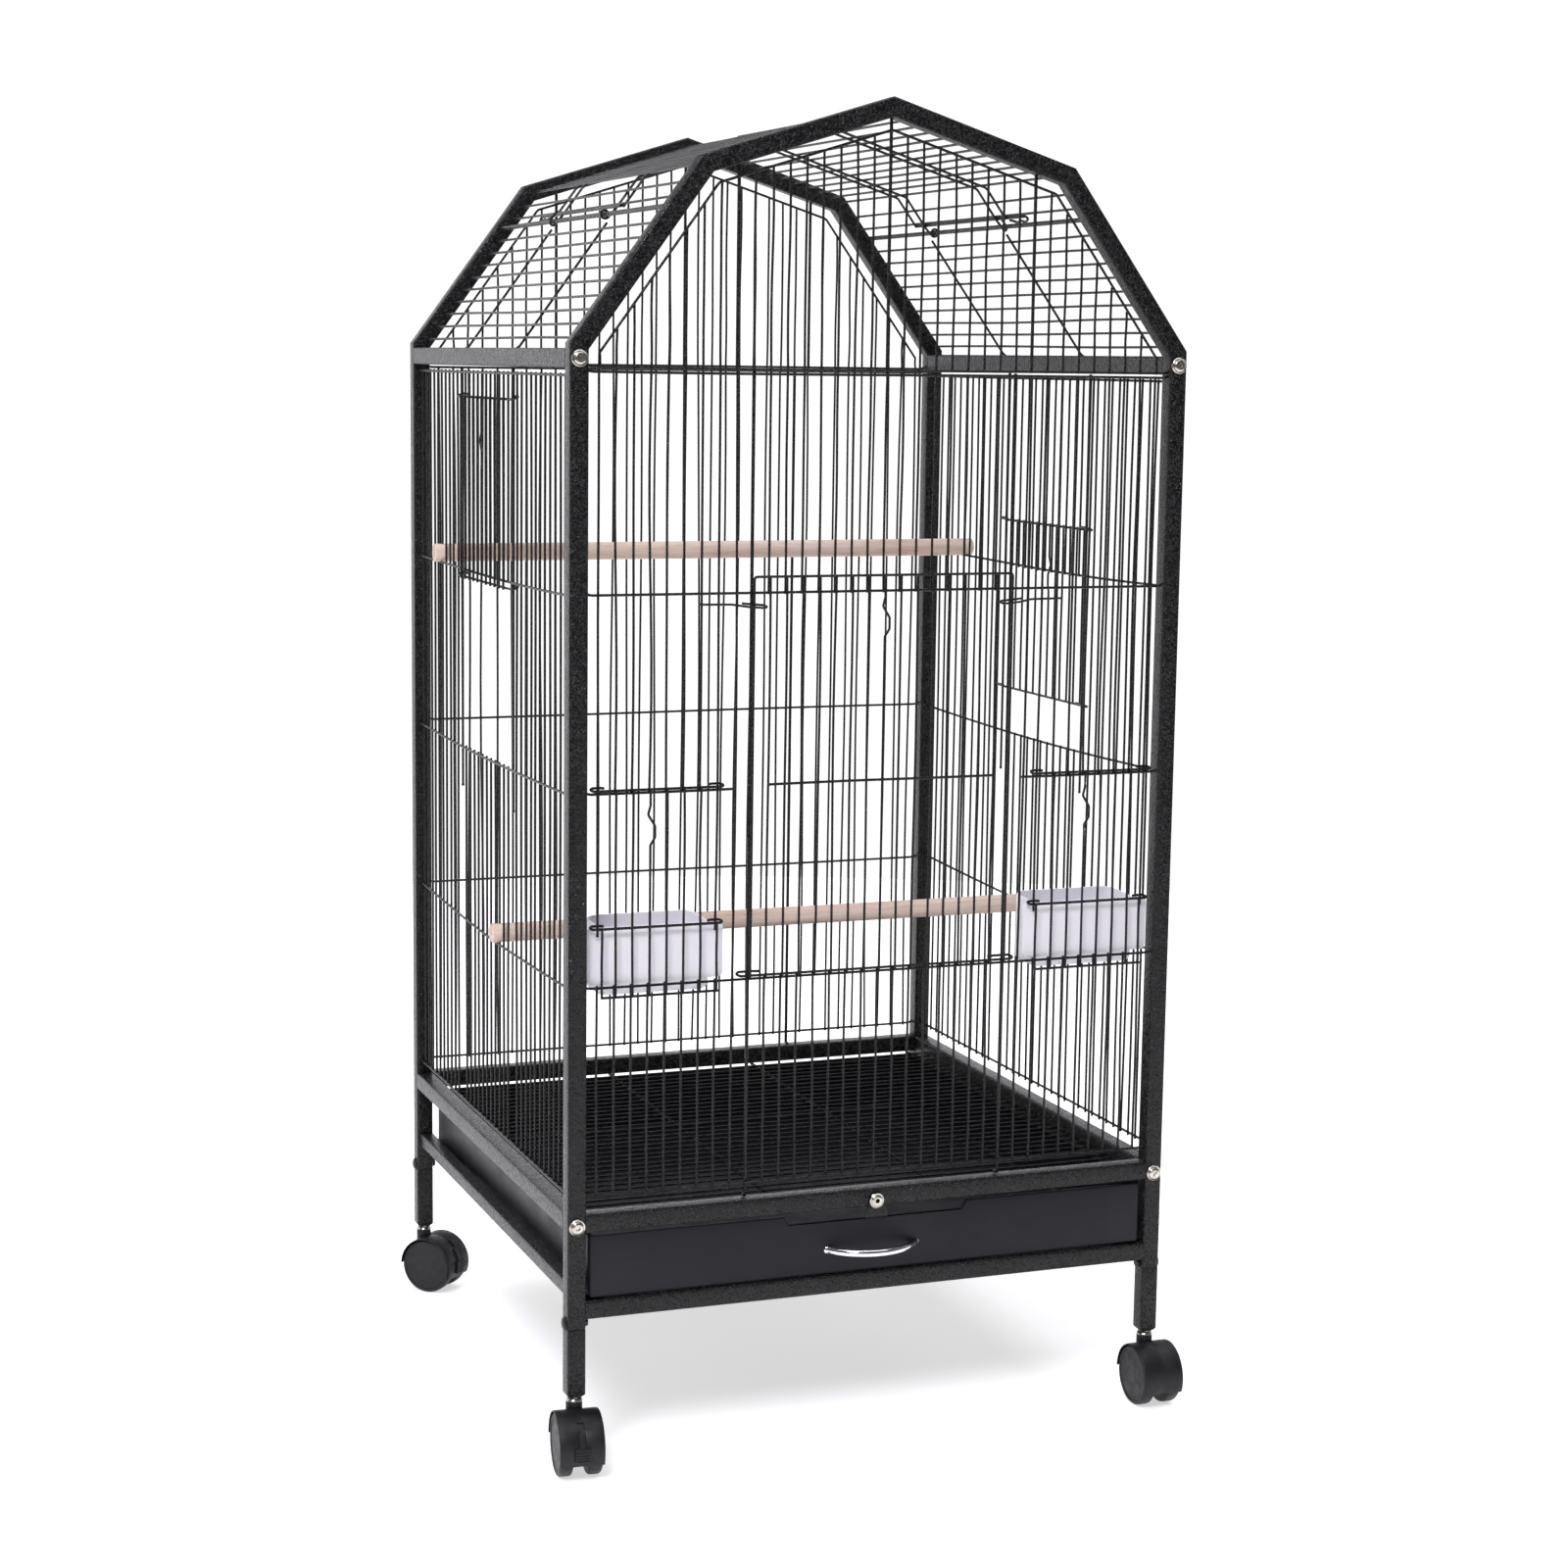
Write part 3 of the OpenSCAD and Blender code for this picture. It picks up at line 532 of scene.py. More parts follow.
for side, c, node in ((-1, 1, "left_panel"), (1, -1, "right_panel")):
    s = Shape()
    for i in range(-17, 18):
        m, y = abs(i - c), i * SP
        if m == 6:
            guide(s, side * PX, y, TOP_RAIL - TUBE - 0.8, (-side, 0, 0))
            continue
        spans = ((FOOT - 1.5, HEAD - 1.3),)
        if m < 6:
            spans = ((FOOT - 1.5, sag(ROW2, y) + 1.5), (sag(ROW1, y) - 1.5, HEAD - 1.3))
        for a, b in spans:
            x = side * (PX + THIN)
            s.bar((x, y, a), (x, y, b), BAR, 0.0022 * (b - a), (0, 1, 0))
    for z in (HEAD, ROW1, ROW2, ROW3, FOOT):
        strung(s, lambda u: (side * (PX + CROSS), u, sag(z, u)), IY)
    s.piece(node + "_wires", "wire", "cage", node)

for t, node in ((1, "front_gable"), (-1, "back_gable")):
    s = Shape()
    d = TUBE + 9
    for i in range(-17, 18):
        thick = i % 9 == 0
        top = roof_z(i * FP, TUBE if thick else d)
        if top > GABLE + 5:
            y = -t * (PY if thick else PY + THIN)
            radius, wave = (GUIDE, 0.0) if thick else (BAR, 0.5)
            s.bar((i * FP, y, GABLE - 1.2), (i * FP, y, top), radius, wave, (1, 0, 0))
    strung(s, lambda u: (u, -t * (PY + CROSS), GABLE), IX)
    e, kn, rg = outline(1, d), outline(2, d), outline(3, d)
    edge = bend([(-e[0], 0, e[1]), (-kn[0], 0, kn[1]), (0, 0, rg[1]), (kn[0], 0, kn[1]), (e[0], 0, e[1])], 6)
    s.wire([(p.x, -t * (PY + CROSS), p.z) for p in edge], WIRE, 10)
    s.piece(node + "_wires", "wire", "cage", node)

# The roof: wires along the cage inside the arches, with the wires that carry them just under.
# Above the tie rods they belong to the two leaves.
for k, node in ((1, "roof_panel_right"), (-1, "roof_panel_left")):
    s = Shape()
    n = 0
    while 10 + 13.6 * n <= ROD_S - 8:
        x, z = low(10 + 13.6 * n, 7.5)
        s.bar((k * x, -IY - 1, z), (k * x, IY + 1, z), BAR, 0.8, (k * math.cos(A1), 0, -math.sin(A1)))
        n += 1
    for y in (-HOOK_Y - 3, HOOK_Y + 3):
        pts = [low(-1.5, 7.6), low(3.5, 9.4), low(9, 9.4), low(ROD_S - 22, 9.4), low(ROD_S - 5, 9.4)]
        s.wire([(k * x, y, z) for x, z in pts], WIRE)
    s.piece(node + "_wires", "wire", "cage", node)

s = Shape()
for i in range(-16, 17):
    s.bar((-IX - 1, i * SP, GRATE), (IX + 1, i * SP, GRATE), BAR, 0.7, (0, 1, 0))
for x in (-236, -72, 72, 236):
    s.bar((x, -IY, GRATE - BAR - 1.45), (x, IY, GRATE - BAR - 1.45), 1.5, 0.3, (1, 0, 0))
s.piece("grate_wires", "wire", "cage", "floor_grate")


# ---------- doors ----------
def looped(g, R, z, out, back, rise=2.4):
    """A wire in front of two guides at -g and g; each end turns round its guide and comes back behind it."""
    right = [Vector((g - 5, -R, z))]
    right += turn((g + out - R, 0, z), (1, 0, 0), (0, 1, 0), R, -90, 90, (0, 0, rise), 10)
    right += [Vector((g - back / 2, R, z + rise)), Vector((g - back, R, z + rise - 0.4))]
    return [Vector((-p.x, p.y, p.z)) for p in right[::-1]] + right


def kinked(x, y, z0, zk, z1, d):
    """A door bar with the small kink that serves as a finger hold, from zk up."""
    return bend([(x, y, z0), (x, y, zk - 4), (x, y, zk), (x + 3.4 * d, y - 1.2, zk + 6),
                 (x + 3.4 * d, y - 1.2, zk + 15), (x - 2.2 * d, y - 0.8, zk + 24), (x, y, zk + 31),
                 (x, y, zk + 34), (x, y, z1)], 3, 4)


s = Shape().at(0, -PY, 0)
g, z0 = 8 * FP, ROW3 + 2 * WIRE + 0.05
for i in range(-7, 8):
    if i == 0:
        s.wire(kinked(0, -DOOR, z0 - 2, 656, DOOR_TOP - 1, 1), BAR)
    else:
        s.bar((i * FP, -DOOR, z0 - 2), (i * FP, -DOOR, DOOR_TOP - 1), BAR, 0.6, (1, 0, 0))
s.wire(looped(g, OUT, z0, 9, 12), WIRE)
s.bar((-7.05 * FP, -FACE, ROW2 + 3), (7.05 * FP, -FACE, ROW2 + 3), WIRE, 0.15, (0, 0, 1))
s.wire(bend([(-DOOR_HALF, -EDGE, z0 - 2), (-DOOR_HALF, -EDGE, DOOR_TOP), (DOOR_HALF, -EDGE, DOOR_TOP),
             (DOOR_HALF, -EDGE, z0 - 2)], 3, 8), WIRE, 10)
s.piece("main_door_wires", "wire", "main_door_body", "main_door")

s = Shape().at(0, -PY, 0)
for k in (-1, 1):
    pts = [Vector((155, -OUT, CLIP_Z + 1.1)), Vector((128, -OUT, CLIP_Z + 0.7)),
           Vector((116, -7.1, CLIP_Z - 0.9))]
    pts += turn((102.2, -4.85, CLIP_Z - 2.1), (1, 0, 0), (0, 1, 0), 2.25, -90, -270, (0, 0, 2), 12)
    pts += [Vector((111, -OUT, CLIP_Z + 0.6)), Vector((119.6, -OUT, CLIP_Z + 1.5))]
    s.wire([(k * p.x, p.y, p.z) for p in pts], 0.95)
s.piece("door_clip_wires", "wire", "cage", "main_door_clips")

for k, hand in ((1, "right"), (-1, "left")):
    node, body = "feeder_door_" + hand, "feeder_%s_body" % hand
    s = Shape().at(0, -PY - THIN, 0)
    y, zb = THIN - DOOR, ROW3 - 8.5
    for i in range(11, 17):
        x = k * i * FP
        if i == (13 if k > 0 else 14):
            s.wire(kinked(x, y, zb, 498, CLOSED + 1.5, 1), BAR)
        else:
            s.bar((x, y, zb), (x, y, CLOSED + 1.5), BAR, 0.4, (1, 0, 0))
    for x in (10 * FP, 16.8 * FP):
        s.bar((k * x, y, zb), (k * x, y, CLOSED - 106.5), BAR, 0.25, (1, 0, 0))
    for z in (CLOSED, CLOSED - 108):
        s.wire([(p.x + k * 13.5 * FP, p.y, p.z) for p in looped(3.5 * FP, 2.2, z, 5.5, 6, 2)], WIRE)
    ends = [(k * x, THIN - FACE, ROW3 - 7) for x in (10 * FP - 1, 16.8 * FP + 1)]
    s.bar(ends[0], ends[1], WIRE, 0.1, (0, 0, 1))
    s.piece(node + "_wires", "wire", body, node)

for side, c, hand in ((-1, 1, "left"), (1, -1, "right")):
    node, body = "side_door_" + hand, "side_%s_body" % hand
    s = Shape().at(side * PX, c * SP, mm_box(node)[0][2] + 1.5, 0 if side > 0 else 180)
    for i in range(-5, 6):
        y = i * SP
        if i == 0:
            pts = kinked(0, -4.6, -1.5, SIDE_H - 58, SIDE_H + 3, 1)
            s.wire([(DOOR - (p.y + 4.6) * 0.6, p.x, p.z) for p in pts], BAR)
        else:
            s.bar((DOOR, y, -1.5), (DOOR, y, SIDE_H + 3), BAR, 0.4, (0, 1, 0))
    for z in (0, SIDE_H + 1.5):
        s.wire([(-p.y, p.x, p.z) for p in looped(6 * SP, OUT, z, 7, 8)], WIRE)
    s.piece(node + "_wires", "wire", body, node)

# A roof leaf hangs on its tie rod by the lower ends of two long wires: one an open hook, the other a
# tight coil. The outer pair of wires ends in the thick catch bar with its finger tab. The left leaf is
# the right one turned round.
DOWN, OUTW = Vector((math.cos(A1), 0, -math.sin(A1))), Vector((math.sin(A1), 0, math.cos(A1)))
for turned, hand in ((0, "right"), (180, "left")):
    node, body = "roof_hatch_" + hand, "hatch_%s_body" % hand
    s = Shape().at(0, 0, 0, turned)
    rod, e, kn = Vector((ROD[0], 0, ROD[1])), up(UL - 5, 9.4), outline(2, 9.4)

    def arm(y, tail):
        s.wire(bend([(e[0], y, e[1]), (kn[0], y, kn[1]), tail[0]], 7) + tail[1:], WIRE)
    near = low(ROD_S + 9, 9.3)
    hook = turn(rod + Vector((0, -HOOK_Y, 0)), -OUTW, DOWN, 3.3, 0, 180, (0, 7, 0))
    tip = hook[-1]
    hook += [tip - DOWN * 4.5 + Vector((0, 0.5, 0)), tip - DOWN * 9 + Vector((0, 0.7, 0))]
    arm(-HOOK_Y, [Vector((near[0], -HOOK_Y, near[1]))] + hook)
    coil = turn(rod + Vector((0, HOOK_Y, 0)), -OUTW, DOWN, 3.3, 0, 410, (0, -2.9, 0), 26)
    arm(HOOK_Y, [Vector((near[0], HOOK_Y, near[1]))] + coil)
    catch = low(ROD_S + 9.5, 7)
    for y in (-CATCH_Y, CATCH_Y):
        a, b = low(ROD_S + 16, 9.2), low(ROD_S + 9.5, 9.2)
        arm(y, [Vector((a[0], y, a[1])), Vector((b[0], y, b[1]))])
    for pos in [low(ROD_S + 12, 7.5), low(ROD_S + 25.6, 7.5)] + [up(5 + 13.2 * j, 7.5) for j in range(12)]:
        s.bar((pos[0], 1.5 - IY, pos[1]), (pos[0], IY - 1.5, pos[1]), BAR, 0.7, (1, 0, 0))
    x, z = up(UL - 4.5, 7.5)
    s.bar((x, -CATCH_Y - 1.5, z), (x, CATCH_Y + 1.5, z), WIRE, 0.1)
    bar = Vector((catch[0], 0, catch[1]))
    s.wire([bar + Vector((0, y, 0)) for y in (CATCH_Y + 1.5, 40, -30, -128)], 1.5, 10)
    tab = [(-127, 0), (-130.5, 0.6), (-131, 2.6), (-128, 4.2), (-122, 5.4), (-115, 3.6), (-108, 5.4),
           (-101, 3.4), (-96, 2.6)]
    s.wire(bend([bar + DOWN * d + Vector((0, y, 0)) for y, d in tab], 3, 3), WIRE)
    s.piece(node + "_wires", "wire", body, node)


# ---------- perches ----------
for node in ("upper_perch", "lower_perch"):
    lo, hi = mm_box(node)
    s = Shape()
    r, half = (hi[2] - lo[2]) / 2, hi[0]
    cy, cz = (lo[1] + hi[1]) / 2, (lo[2] + hi[2]) / 2
    profile = [(-half, r - 0.8), (-half + 0.3, r - 0.3), (-half + 1, r)]
    profile += [(x, r + rng.uniform(-0.12, 0.0)) for x in range(-240, 241, 24)]
    profile += [(half - 1, r), (half - 0.3, r - 0.3), (half, r - 0.8)]
    s.lathe((0, cy, cz), (1, 0, 0), profile, 40)
    ob = s.piece(node + "_dowel", "perch", "cage", node)
    cut = Shape()
    for k in (-1, 1):
        corners = ((-1.3, -10), (1.3, -10), (1.3, 10), (-1.3, 10))
        cut.loft([[(x, cy + u, cz + v) for u, v in corners] for x in (k * (half - 20), k * (half + 4))])
    me = bpy.data.meshes.new("slit_cutter")
    me.from_pydata([p * 0.001 for p in cut.v], [], cut.f)
    bm = bmesh.new()
    bm.from_mesh(me)
    bmesh.ops.recalc_face_normals(bm, faces=bm.faces)
    bm.to_mesh(me)
    bm.free()
    cutter = bpy.data.objects.new("slit_cutter", me)
    scene.collection.objects.link(cutter)
    mod = ob.modifiers.new("slit", "BOOLEAN")
    mod.operation, mod.solver, mod.object = "DIFFERENCE", "EXACT", cutter
    done = bpy.data.meshes.new_from_object(ob.evaluated_get(bpy.context.evaluated_depsgraph_get()))
    ob.modifiers.clear()
    ob.data = done
    ob.data.shade_smooth()
    ob.data.set_sharp_from_angle(angle=math.radians(38))
    bpy.data.objects.remove(cutter)


# ---------- feeder cups ----------
def rounded(x0, x1, y0, y1, r, steps=5):
    out = []
    corners = ((x1 - r, y1 - r, 0), (x0 + r, y1 - r, 90), (x0 + r, y0 + r, 180), (x1 - r, y0 + r, 270))
    for cx, cy, start in corners:
        for i in range(steps + 1):
            t = math.radians(start + 90 * i / steps)
            out.append((cx + r * math.cos(t), cy + r * math.sin(t)))
    return out

for k, node in ((1, "feeder_cup_right"), (-1, "feeder_cup_left")):
    lo, hi = mm_box(node)
    if k < 0:
        lo[0], hi[0] = -hi[0], -lo[0]
    x0, x1, y0, y1, zb, zt = lo[0], hi[0], lo[1], hi[1], lo[2], hi[2]
    s = Shape()
    a, b = x0 + 10, x1 - 10
    mid = (a + b) / 2

    def rim(x, y):
        """Height of the rim: level in front, a little higher and arched along the back."""
        f = min(1, max(0, (y - y0 - 3) / (y1 - y0 - 5))) ** 1.5
        return (zb + 54.5) * (1 - f) + max(zt - 0.0017 * (x - mid) ** 2, zb + 54.5) * f

    def shell(grow, r):
        return rounded(a + grow, b - grow, y0 + grow, y1 - grow, r, 6)
    loops = []
    for z, grow, r in ((zb, 5, 6), (zb + 0.8, 2.4, 7), (zb + 3, 0.7, 8), (zb + 7, 0.2, 9)):
        loops.append([(x, y, z) for x, y in shell(grow, r)])
    for f in (0.35, 0.7, 0.97, 1.0):
        loops.append([(x, y, zb + 7 + (rim(x, y) - zb - 7) * f) for x, y in shell(0.2 if f < 1 else 0.6, 9)])
    for f in (1.0, 0.97, 0.6, 0.3):
        loops.append([(x, y, zb + 7 + (rim(x, y) - zb - 7) * f) for x, y in shell(2.0 if f == 1 else 2.4, 7)])
    for z, grow, r in ((zb + 6, 2.9, 7), (zb + 3.4, 4.5, 6), (zb + 2.6, 7, 5)):
        loops.append([(x, y, z) for x, y in shell(grow, r)])
    s.loft([[(k * x, y, z) for x, y, z in lp] for lp in loops])
    # a thin flat wing on each side bears on the wires; its outer corners are rounded and its root is creased
    for root, tip in ((a + 8, x0), (b - 8, x1)):
        wing, e = [], 1 if tip > root else -1
        for x, z, start in ((tip - e * 4.5, zb + 50, 90), (tip - e * 4.5, zb + 14.5, 0)):
            for i in range(7):
                t = math.radians(start - 15 * i)
                wing.append((x + e * 4.5 * math.cos(t), z + 4.5 * math.sin(t)))
        wing += [(root, zb + 10), (root, zb + 54.5)]
        cx, cz = (root + tip) / 2, zb + 32
        s.loft([[(k * (cx + (x - cx) * g), y0 + y, cz + (z - cz) * g) for x, z in wing]
                for y, g in ((0.05, 0.985), (0.4, 1.0), (1.6, 1.0), (1.95, 0.985))])
    s.piece(node + "_shell", "cup", "cage", node, angle=32, bevel=0.4)


# ---------- tray ----------
lo, hi = mm_box("tray")
TX, YF, YB, ZT0, ZT1 = hi[0], lo[1], hi[1], lo[2], hi[2]
s = Shape()
NOTCH_A, NOTCH_B, NOTCH_Z = -78.0, 82.0, ZT0 + 43


def tray_ring(grow):
    return rounded(-TX + grow, TX - grow, YF + grow, YB - grow, max(3.5 - grow, 1.2), 5)


def tray_rim(x, y, z):
    """The front wall dips at the notch; the others stand a little higher, with a narrow flange."""
    if y > YF + 28:
        flare = 1.6 * min(1, max(0, (z - ZT1 + 3.1) / 2)) * min(1, max(0, (abs(x) - TX + 2.5) / 1.2))
        return x + math.copysign(flare, x), y, z + 2.3
    if y < YF + 12 and z > NOTCH_Z:
        inside = min(x - NOTCH_A, NOTCH_B - x)
        if inside > 0:
            return x, y, max(NOTCH_Z, z - inside * 2.0)
    return x, y, z


def dense(loop):
    """Adds points along the front edge for the notch, and on the sides where the flange starts."""
    xs = [NOTCH_A + q for q in (-4, 0, 2, 4.5, 6)] + [-38, -2, 38]
    xs += [NOTCH_B + q for q in (-6, -4.5, -2, 0, 4)]
    out, n = [], len(loop)
    for i, (x, y) in enumerate(loop):
        out.append((x, y))
        nx, ny = loop[(i + 1) % n]
        if y < YF + 6 and ny < YF + 6 and nx - x > 100:
            out += [(q, y) for q in xs]
        if abs(ny - y) > 100:
            out += [(x, q) for q in sorted((YF + 26, YF + 30), reverse=ny < y)]
    return out


loops = []
for z, grow in ((ZT0, 2.2), (ZT0 + 0.5, 0.7), (ZT0 + 2, 0.0), (ZT1 - 9, 0.0)):
    loops.append([(x, y, z) for x, y in dense(tray_ring(grow))])
for dip, grow in ((3, 0.0), (0.9, 0.25), (0.15, 0.9), (0.1, 3.2), (0.6, 4.2), (4.5, 4.6), (4.7, 3.7),
                  (1.4, 3.3), (1.3, 1.2)):
    loops.append([tray_rim(x, y, ZT1 - dip) for x, y in dense(tray_ring(grow))])
for z, grow in ((ZT1 - 9, 1.1), (ZT0 + 3, 1.1), (ZT0 + 1.2, 2.6)):
    loops.append([(x, y, z) for x, y in dense(tray_ring(grow))])
s.loft(loops)
s.piece("tray_pan", "tray", "tray_body", "tray", angle=32)

lo, hi = mm_box("tray_handle")
hcx, hcz = (lo[0] + hi[0]) / 2, (lo[2] + hi[2]) / 2
s = Shape()
loops = []
for i in range(33):
    t = -1 + 2 * i / 32
    a = t * math.radians(60)
    p = Vector((hcx + 47 * math.sin(a), YF + 27 - 47 * math.cos(a), hcz))
    across = Vector((math.sin(a), -math.cos(a), 0))
    w = 2.8 + 0.4 * abs(t) ** 3
    ring = [p + across * 2.2 * math.cos(q) + Vector((0, 0, w * math.sin(q))) for q in
            [2 * math.pi * j / 16 for j in range(16)]]
    # the ends stop inside the tray's front sheet
    loops.append([(v.x, min(v.y, YF + 0.5), v.z) for v in ring])
s.loft(loops)
s.piece("tray_bow_handle", "chrome", "tray_body", "tray_handle", angle=45)
s = Shape()
for e in (-1, 1):
    head = [(0, 4.6), (0.3, 5.0), (1.2, 4.6), (2.0, 3.2), (2.2, 1.5)]
    s.lathe((hcx + e * 38.2, YF + 1.02, hcz), (0, 1, 0), head, 24)
s.piece("handle_back_screws", "nickel", "tray_body", "tray_handle_screws", angle=45)


# ---------- tray catch ----------
lo, hi = mm_box("tray_catch")
s = Shape()
zt, zl = hi[2], lo[2]
plate = []
for i in range(9):
    t = math.pi * i / 8
    plate.append((6.3 * math.cos(t), zt - 5.5 + 5.5 * math.sin(t)))
plate += [(-6.6, zt - 9), (-10.2, zl + 1.6), (-9.2, zl), (9.2, zl), (10.2, zl + 1.6), (6.6, zt - 9)]
s.loft([[(x * grow, y, CATCH + (z - CATCH) * grow) for x, z in plate] for y, grow in
        ((-HY - 0.05, 0.985), (-HY - 0.3, 1.0), (-HY - 1.25, 1.0), (-HY - 1.5, 0.985))])
s.piece("tray_catch_plate", "frame", "catch_body", "tray_catch", angle=40)
s = Shape()
c, n = (0, -HY - 1.5, CATCH), (0, -1, 0)
s.lathe(c, n, [(0.02, 5.6), (0.3, 6.2), (0.8, 6.3), (1.2, 5.8), (1.1, 5.0)], 36)
recess(s, c, n, [(0.8, 4.9), (1.4, 5.0), (2.0, 4.4), (2.3, 3.4)], 2.0, 1.2)
s.lathe((0, -HY + TUBE, CATCH), (0, 1, 0), [(0.1, 3.6), (0.4, 4.0), (2.6, 4.0), (3.2, 3.4)], 6)
s.piece("tray_catch_screw", "nickel", "cage", "tray_catch_bolt", angle=45)


# ---------- casters ----------
CASTERS = (("fl", -1, -1, -6), ("fr", 1, -1, 0), ("bl", -1, 1, 45), ("br", 1, 1, 200))
BRAKED = ("fl", "bl")
collar = [(0, 3.0)] + [(LEG_Z - h, r) for h, r in ((47.6, 3.0), (47.5, 6.5), (47.2, 6.9), (46.6, 6.8),
                                                    (44.6, 5.3), (44.5, 5.0), (22.6, 5.0))]
s = Shape()
for key, a, b, h in CASTERS:
    s.at(a * PX, b * PY, 0, h)
    s.lathe((0, 0, 44.5), (0, 0, 1), collar, 32)
s.piece("caster_collars", "nickel", "cage", "caster_stems")


def sector(s, profile, angles, inset=lambda x, t: 0.0):
    """Turns a closed (x, radius) outline about the axle through the angles; 0 points forward and 90 up."""
    loops = []
    for t in angles:
        q = math.radians(t)
        loops.append([(x, -TRAIL - (r - inset(x, t)) * math.cos(q), AXLE + (r - inset(x, t)) * math.sin(q))
                      for x, r in profile])
    s.loft(loops)


for key, a, b, h in CASTERS:
    node, body = "hood_" + key, "caster_" + key
    braked = key in BRAKED
    s = Shape().at(a * PX, b * PY, 0, h)
    shell = [(-18.0, 25.5), (-18.0, 25.9), (-17.7, 26.35), (-17.1, 26.55), (-12, 26.6), (-2.75, 26.6),
             (-2.6, 26.55), (0, 26.55), (2.6, 26.55), (2.75, 26.6), (12, 26.6), (17.1, 26.55), (17.7, 26.35),
             (18.0, 25.9), (18.0, 25.5), (5.8, 25.4), (5.8, 14), (5.8, 2.6), (-5.8, 2.6), (-5.8, 14),
             (-5.8, 25.4)]
    turns = [-23 + 4.2 * i for i in range(15)] + [39.8, 40.2, 44, 48, 52, 55.8, 56.2]
    turns += [60 + 4.55 * i for i in range(27)]
    sector(s, shell, sorted(turns), lambda x, t: 1.1 if 40 < t < 56 and abs(x) < 2.7 and braked else 0.0)
    neck = [(0, 6.7), (6, 6.7), (12, 6.6), (LEG_Z - 42.2, 6.6), (LEG_Z - 41.2, 6.2)]
    s.lathe((0, 0, 38), (0, 0, 1), neck, 32)
    s.piece("caster_hood_" + key, "casterplastic", body, node, angle=40)
    s = Shape().at(a * PX, b * PY, 0, h)
    s.lathe((-16.5, -TRAIL, AXLE), (1, 0, 0), [(0, 2.3), (0.4, 2.5), (32.6, 2.5), (33, 2.3)], 20)
    s.piece("caster_axle_" + key, "axlesteel", body, "axle_" + key)
    for tag, e, wbody in (("a", -1, "left"), ("b", 1, "right")):
        s = Shape().at(a * PX, b * PY, 0, h)
        tyre = [(6.2, 3.0), (6.2, 22.0), (6.6, 23.8), (7.4, 24.7), (9, 25.0), (14.2, 25.0), (15.8, 24.7),
                (16.8, 23.9), (17.2, 22.8), (17.1, 21.9), (16.5, 21.5), (16.6, 10), (16.6, 0.5)]
        s.lathe((0, -TRAIL, AXLE), (e, 0, 0), tyre, 56)
        wheel = "wheel_%s_%s" % (key, wbody)
        s.piece("caster_" + wheel, "casterplastic", wheel, "wheel_%s_%s" % (key, tag), angle=35)
for key, a, b, h in CASTERS:
    if key not in BRAKED:
        continue
    # the brake: a strip that slides round the hood, and a ribbed pad for the toe
    s = Shape().at(a * PX, b * PY, 0, h)
    strip = [(-2.6, 26.7), (-2.6, 27.5), (-2.2, 27.9), (2.2, 27.9), (2.6, 27.5), (2.6, 26.7)]
    sector(s, strip, [-15.5 + 3.5 * i for i in range(16)])
    loops = []
    pad = ((-13.4, 27.5), (-13, 28.4), (-12, 28.9), (-6, 29.0), (0, 29.0), (6, 29.0), (10, 28.9), (11, 28.3),
           (11.4, 27.4))
    for t, r1 in pad:
        q = math.radians(t)
        loops.append([(x, -TRAIL - r * math.cos(q), AXLE + r * math.sin(q)) for x, r in
                      ((-6, 26.8), (-6, r1 - 0.5), (-5.5, r1), (5.5, r1), (6, r1 - 0.5), (6, 26.8))])
    s.loft(loops)
    for i in range(5):
        q, r = math.radians(8 - 4.6 * i), 29.05
        s.wire([(x, -TRAIL - r * math.cos(q), AXLE + r * math.sin(q)) for x in (-5.4, 0, 5.4)], 0.5)
    s.piece("caster_brake_" + key, "casterplastic", "brake_%s_body" % key, "brake_" + key, angle=35)


# ---------- floor, light, camera ----------
bpy.ops.mesh.primitive_circle_add(vertices=128, radius=2.4, fill_type="NGON")
floor = bpy.context.object
floor.name = "studio_floor"
m = Mat("studio_floor", 0.7, Specular_IOR_Level=0.1)
m.colour(m.noise(1.2, 2), (0.2, "f2f2f3"), (0.8, "f6f6f6"))
m.p.inputs["Emission Color"].default_value = (1, 1, 1, 1)
m.p.inputs["Emission Strength"].default_value = 0.56
floor.data.materials.append(m.m)

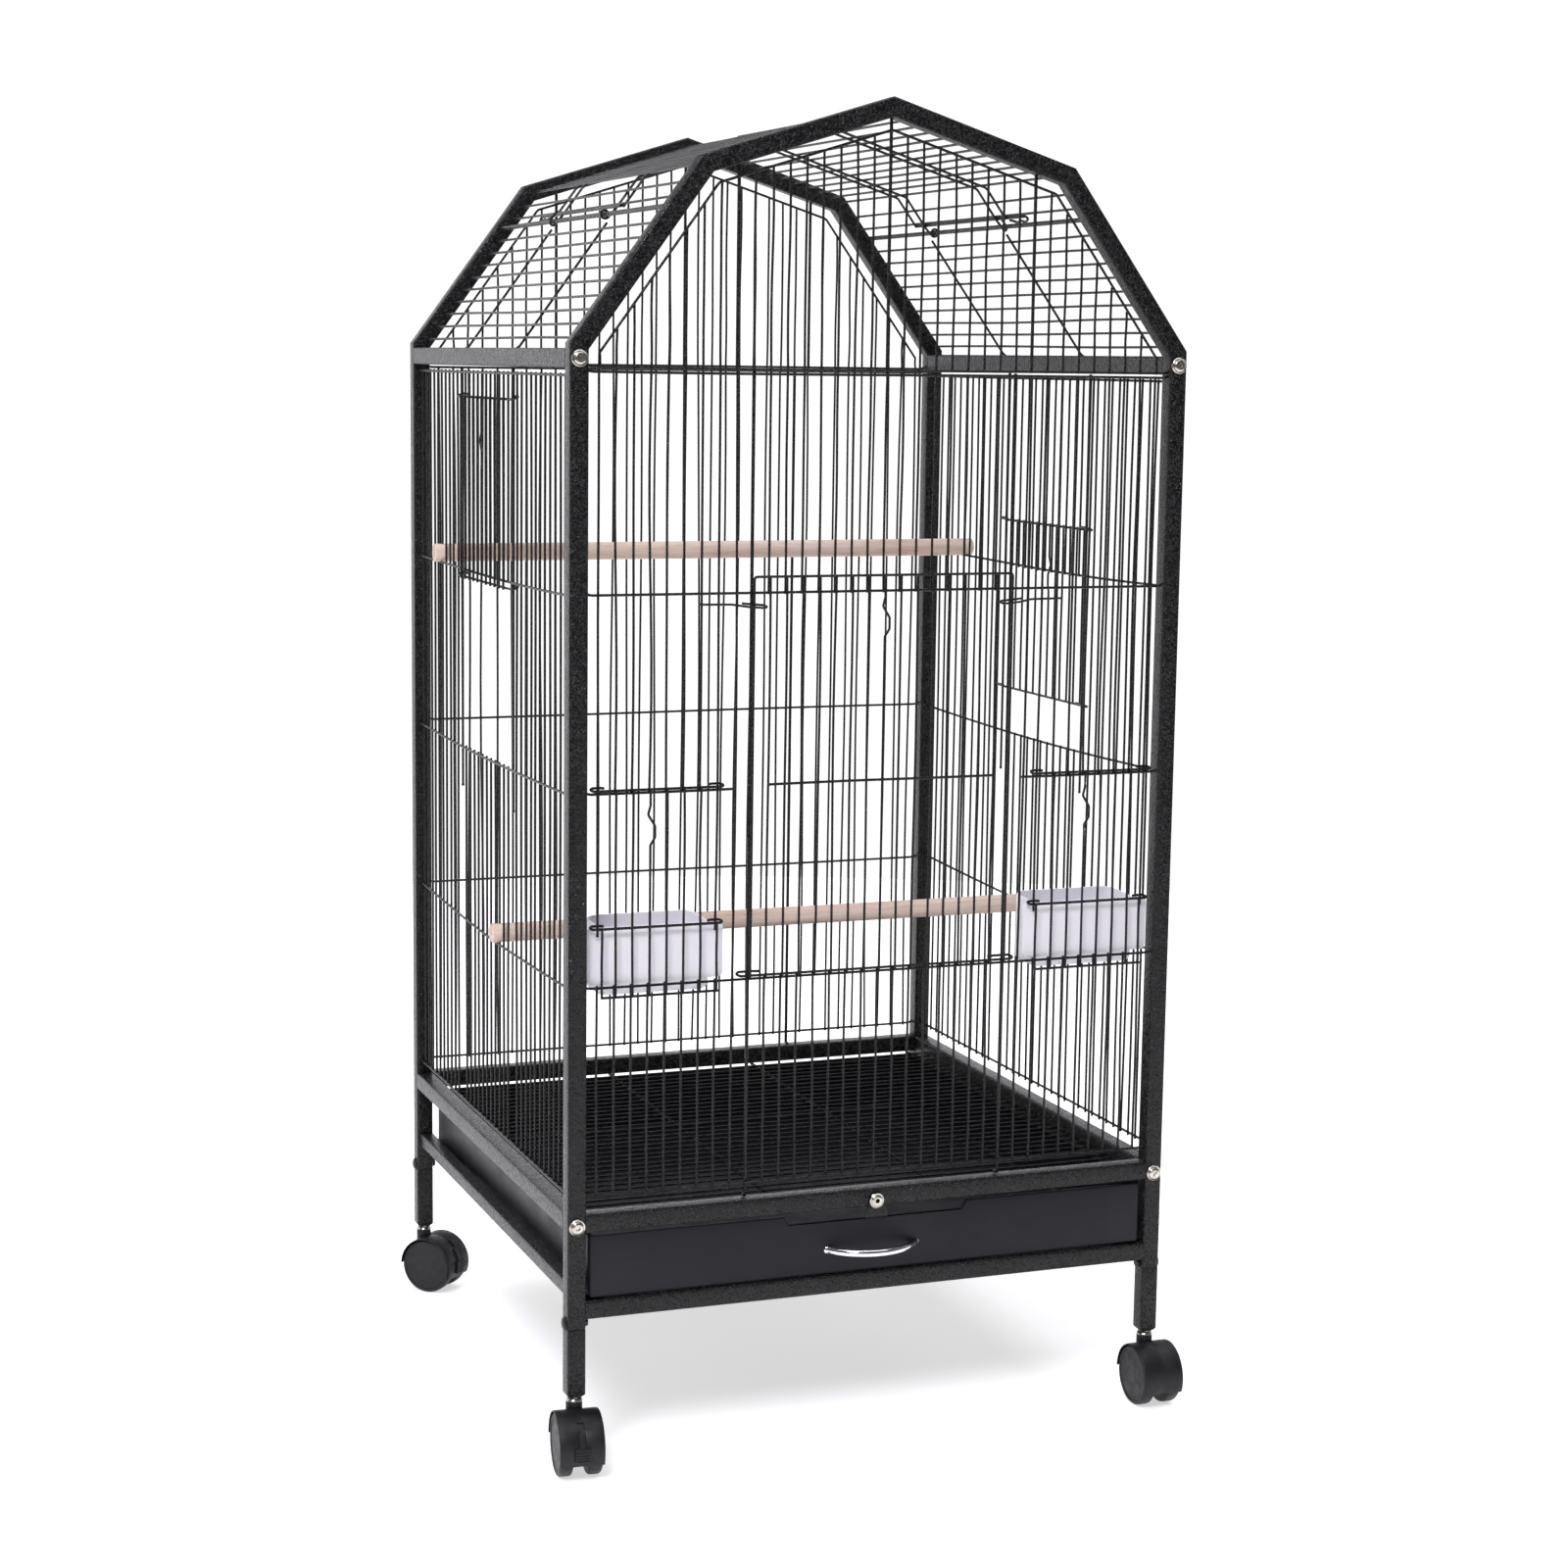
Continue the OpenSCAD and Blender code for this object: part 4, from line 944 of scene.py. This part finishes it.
world = bpy.data.worlds.new("studio")
scene.world = world
world.use_nodes = True
wt = world.node_tree
bg = wt.nodes["Background"]
bg.inputs["Color"].default_value = (1, 1, 1, 1)
ray = wt.nodes.new("ShaderNodeLightPath")
strength = wt.nodes.new("ShaderNodeMapRange")
strength.inputs[3].default_value = 0.13
strength.inputs[4].default_value = 1.1
wt.links.new(ray.outputs["Is Camera Ray"], strength.inputs[0])
wt.links.new(strength.outputs[0], bg.inputs["Strength"])


def area(name, place, target, size, power):
    data = bpy.data.lights.new(name, "AREA")
    data.shape, data.size, data.size_y, data.energy = "RECTANGLE", size[0], size[1], power
    data.color = (0.97, 0.96, 1.0)
    ob = bpy.data.objects.new(name, data)
    ob.location = place
    ob.rotation_euler = (Vector(target) - Vector(place)).to_track_quat("-Z", "Y").to_euler()
    ob.visible_camera = False
    scene.collection.objects.link(ob)


area("top_softbox", (0.0, 0.3, 3.6), (0, 0, 0.5), (4, 4), 110)
area("left_softbox", (-3.6, 1.8, 1.5), (0, 0, 0.6), (3, 3), 30)
area("back_panel", (-0.4, 4.5, 0.9), (0, 0, 0.7), (7, 2.6), 85)
area("right_softbox", (3.4, 1.2, 1.6), (0, 0, 0.6), (3, 3), 25)
area("key_softbox", (-2.0, -3.0, 3.5), (0, 0, 0.6), (1.3, 1.3), 140)

cam_data = bpy.data.cameras.new("camera")
cam = bpy.data.objects.new("camera", cam_data)
scene.collection.objects.link(cam)
cam_data.lens, cam_data.sensor_width = 67.735, 36.0
cam_data.clip_end = 100
yaw, pitch, roll = math.radians(20.894), math.radians(8.176), math.radians(0.745)
fwd = Vector((math.sin(yaw) * math.cos(pitch), math.cos(yaw) * math.cos(pitch), -math.sin(pitch)))
right = Vector((math.cos(yaw), -math.sin(yaw), 0))
upv = right.cross(fwd)
rr, uu = right * math.cos(roll) + upv * math.sin(roll), upv * math.cos(roll) - right * math.sin(roll)
place = (-0.90126, -2.39181, 0.87097)
cam.matrix_world = Matrix([(rr[i], uu[i], -fwd[i], place[i]) for i in range(3)] + [(0, 0, 0, 1)])
scene.camera = cam
scene.view_settings.view_transform = "Standard"
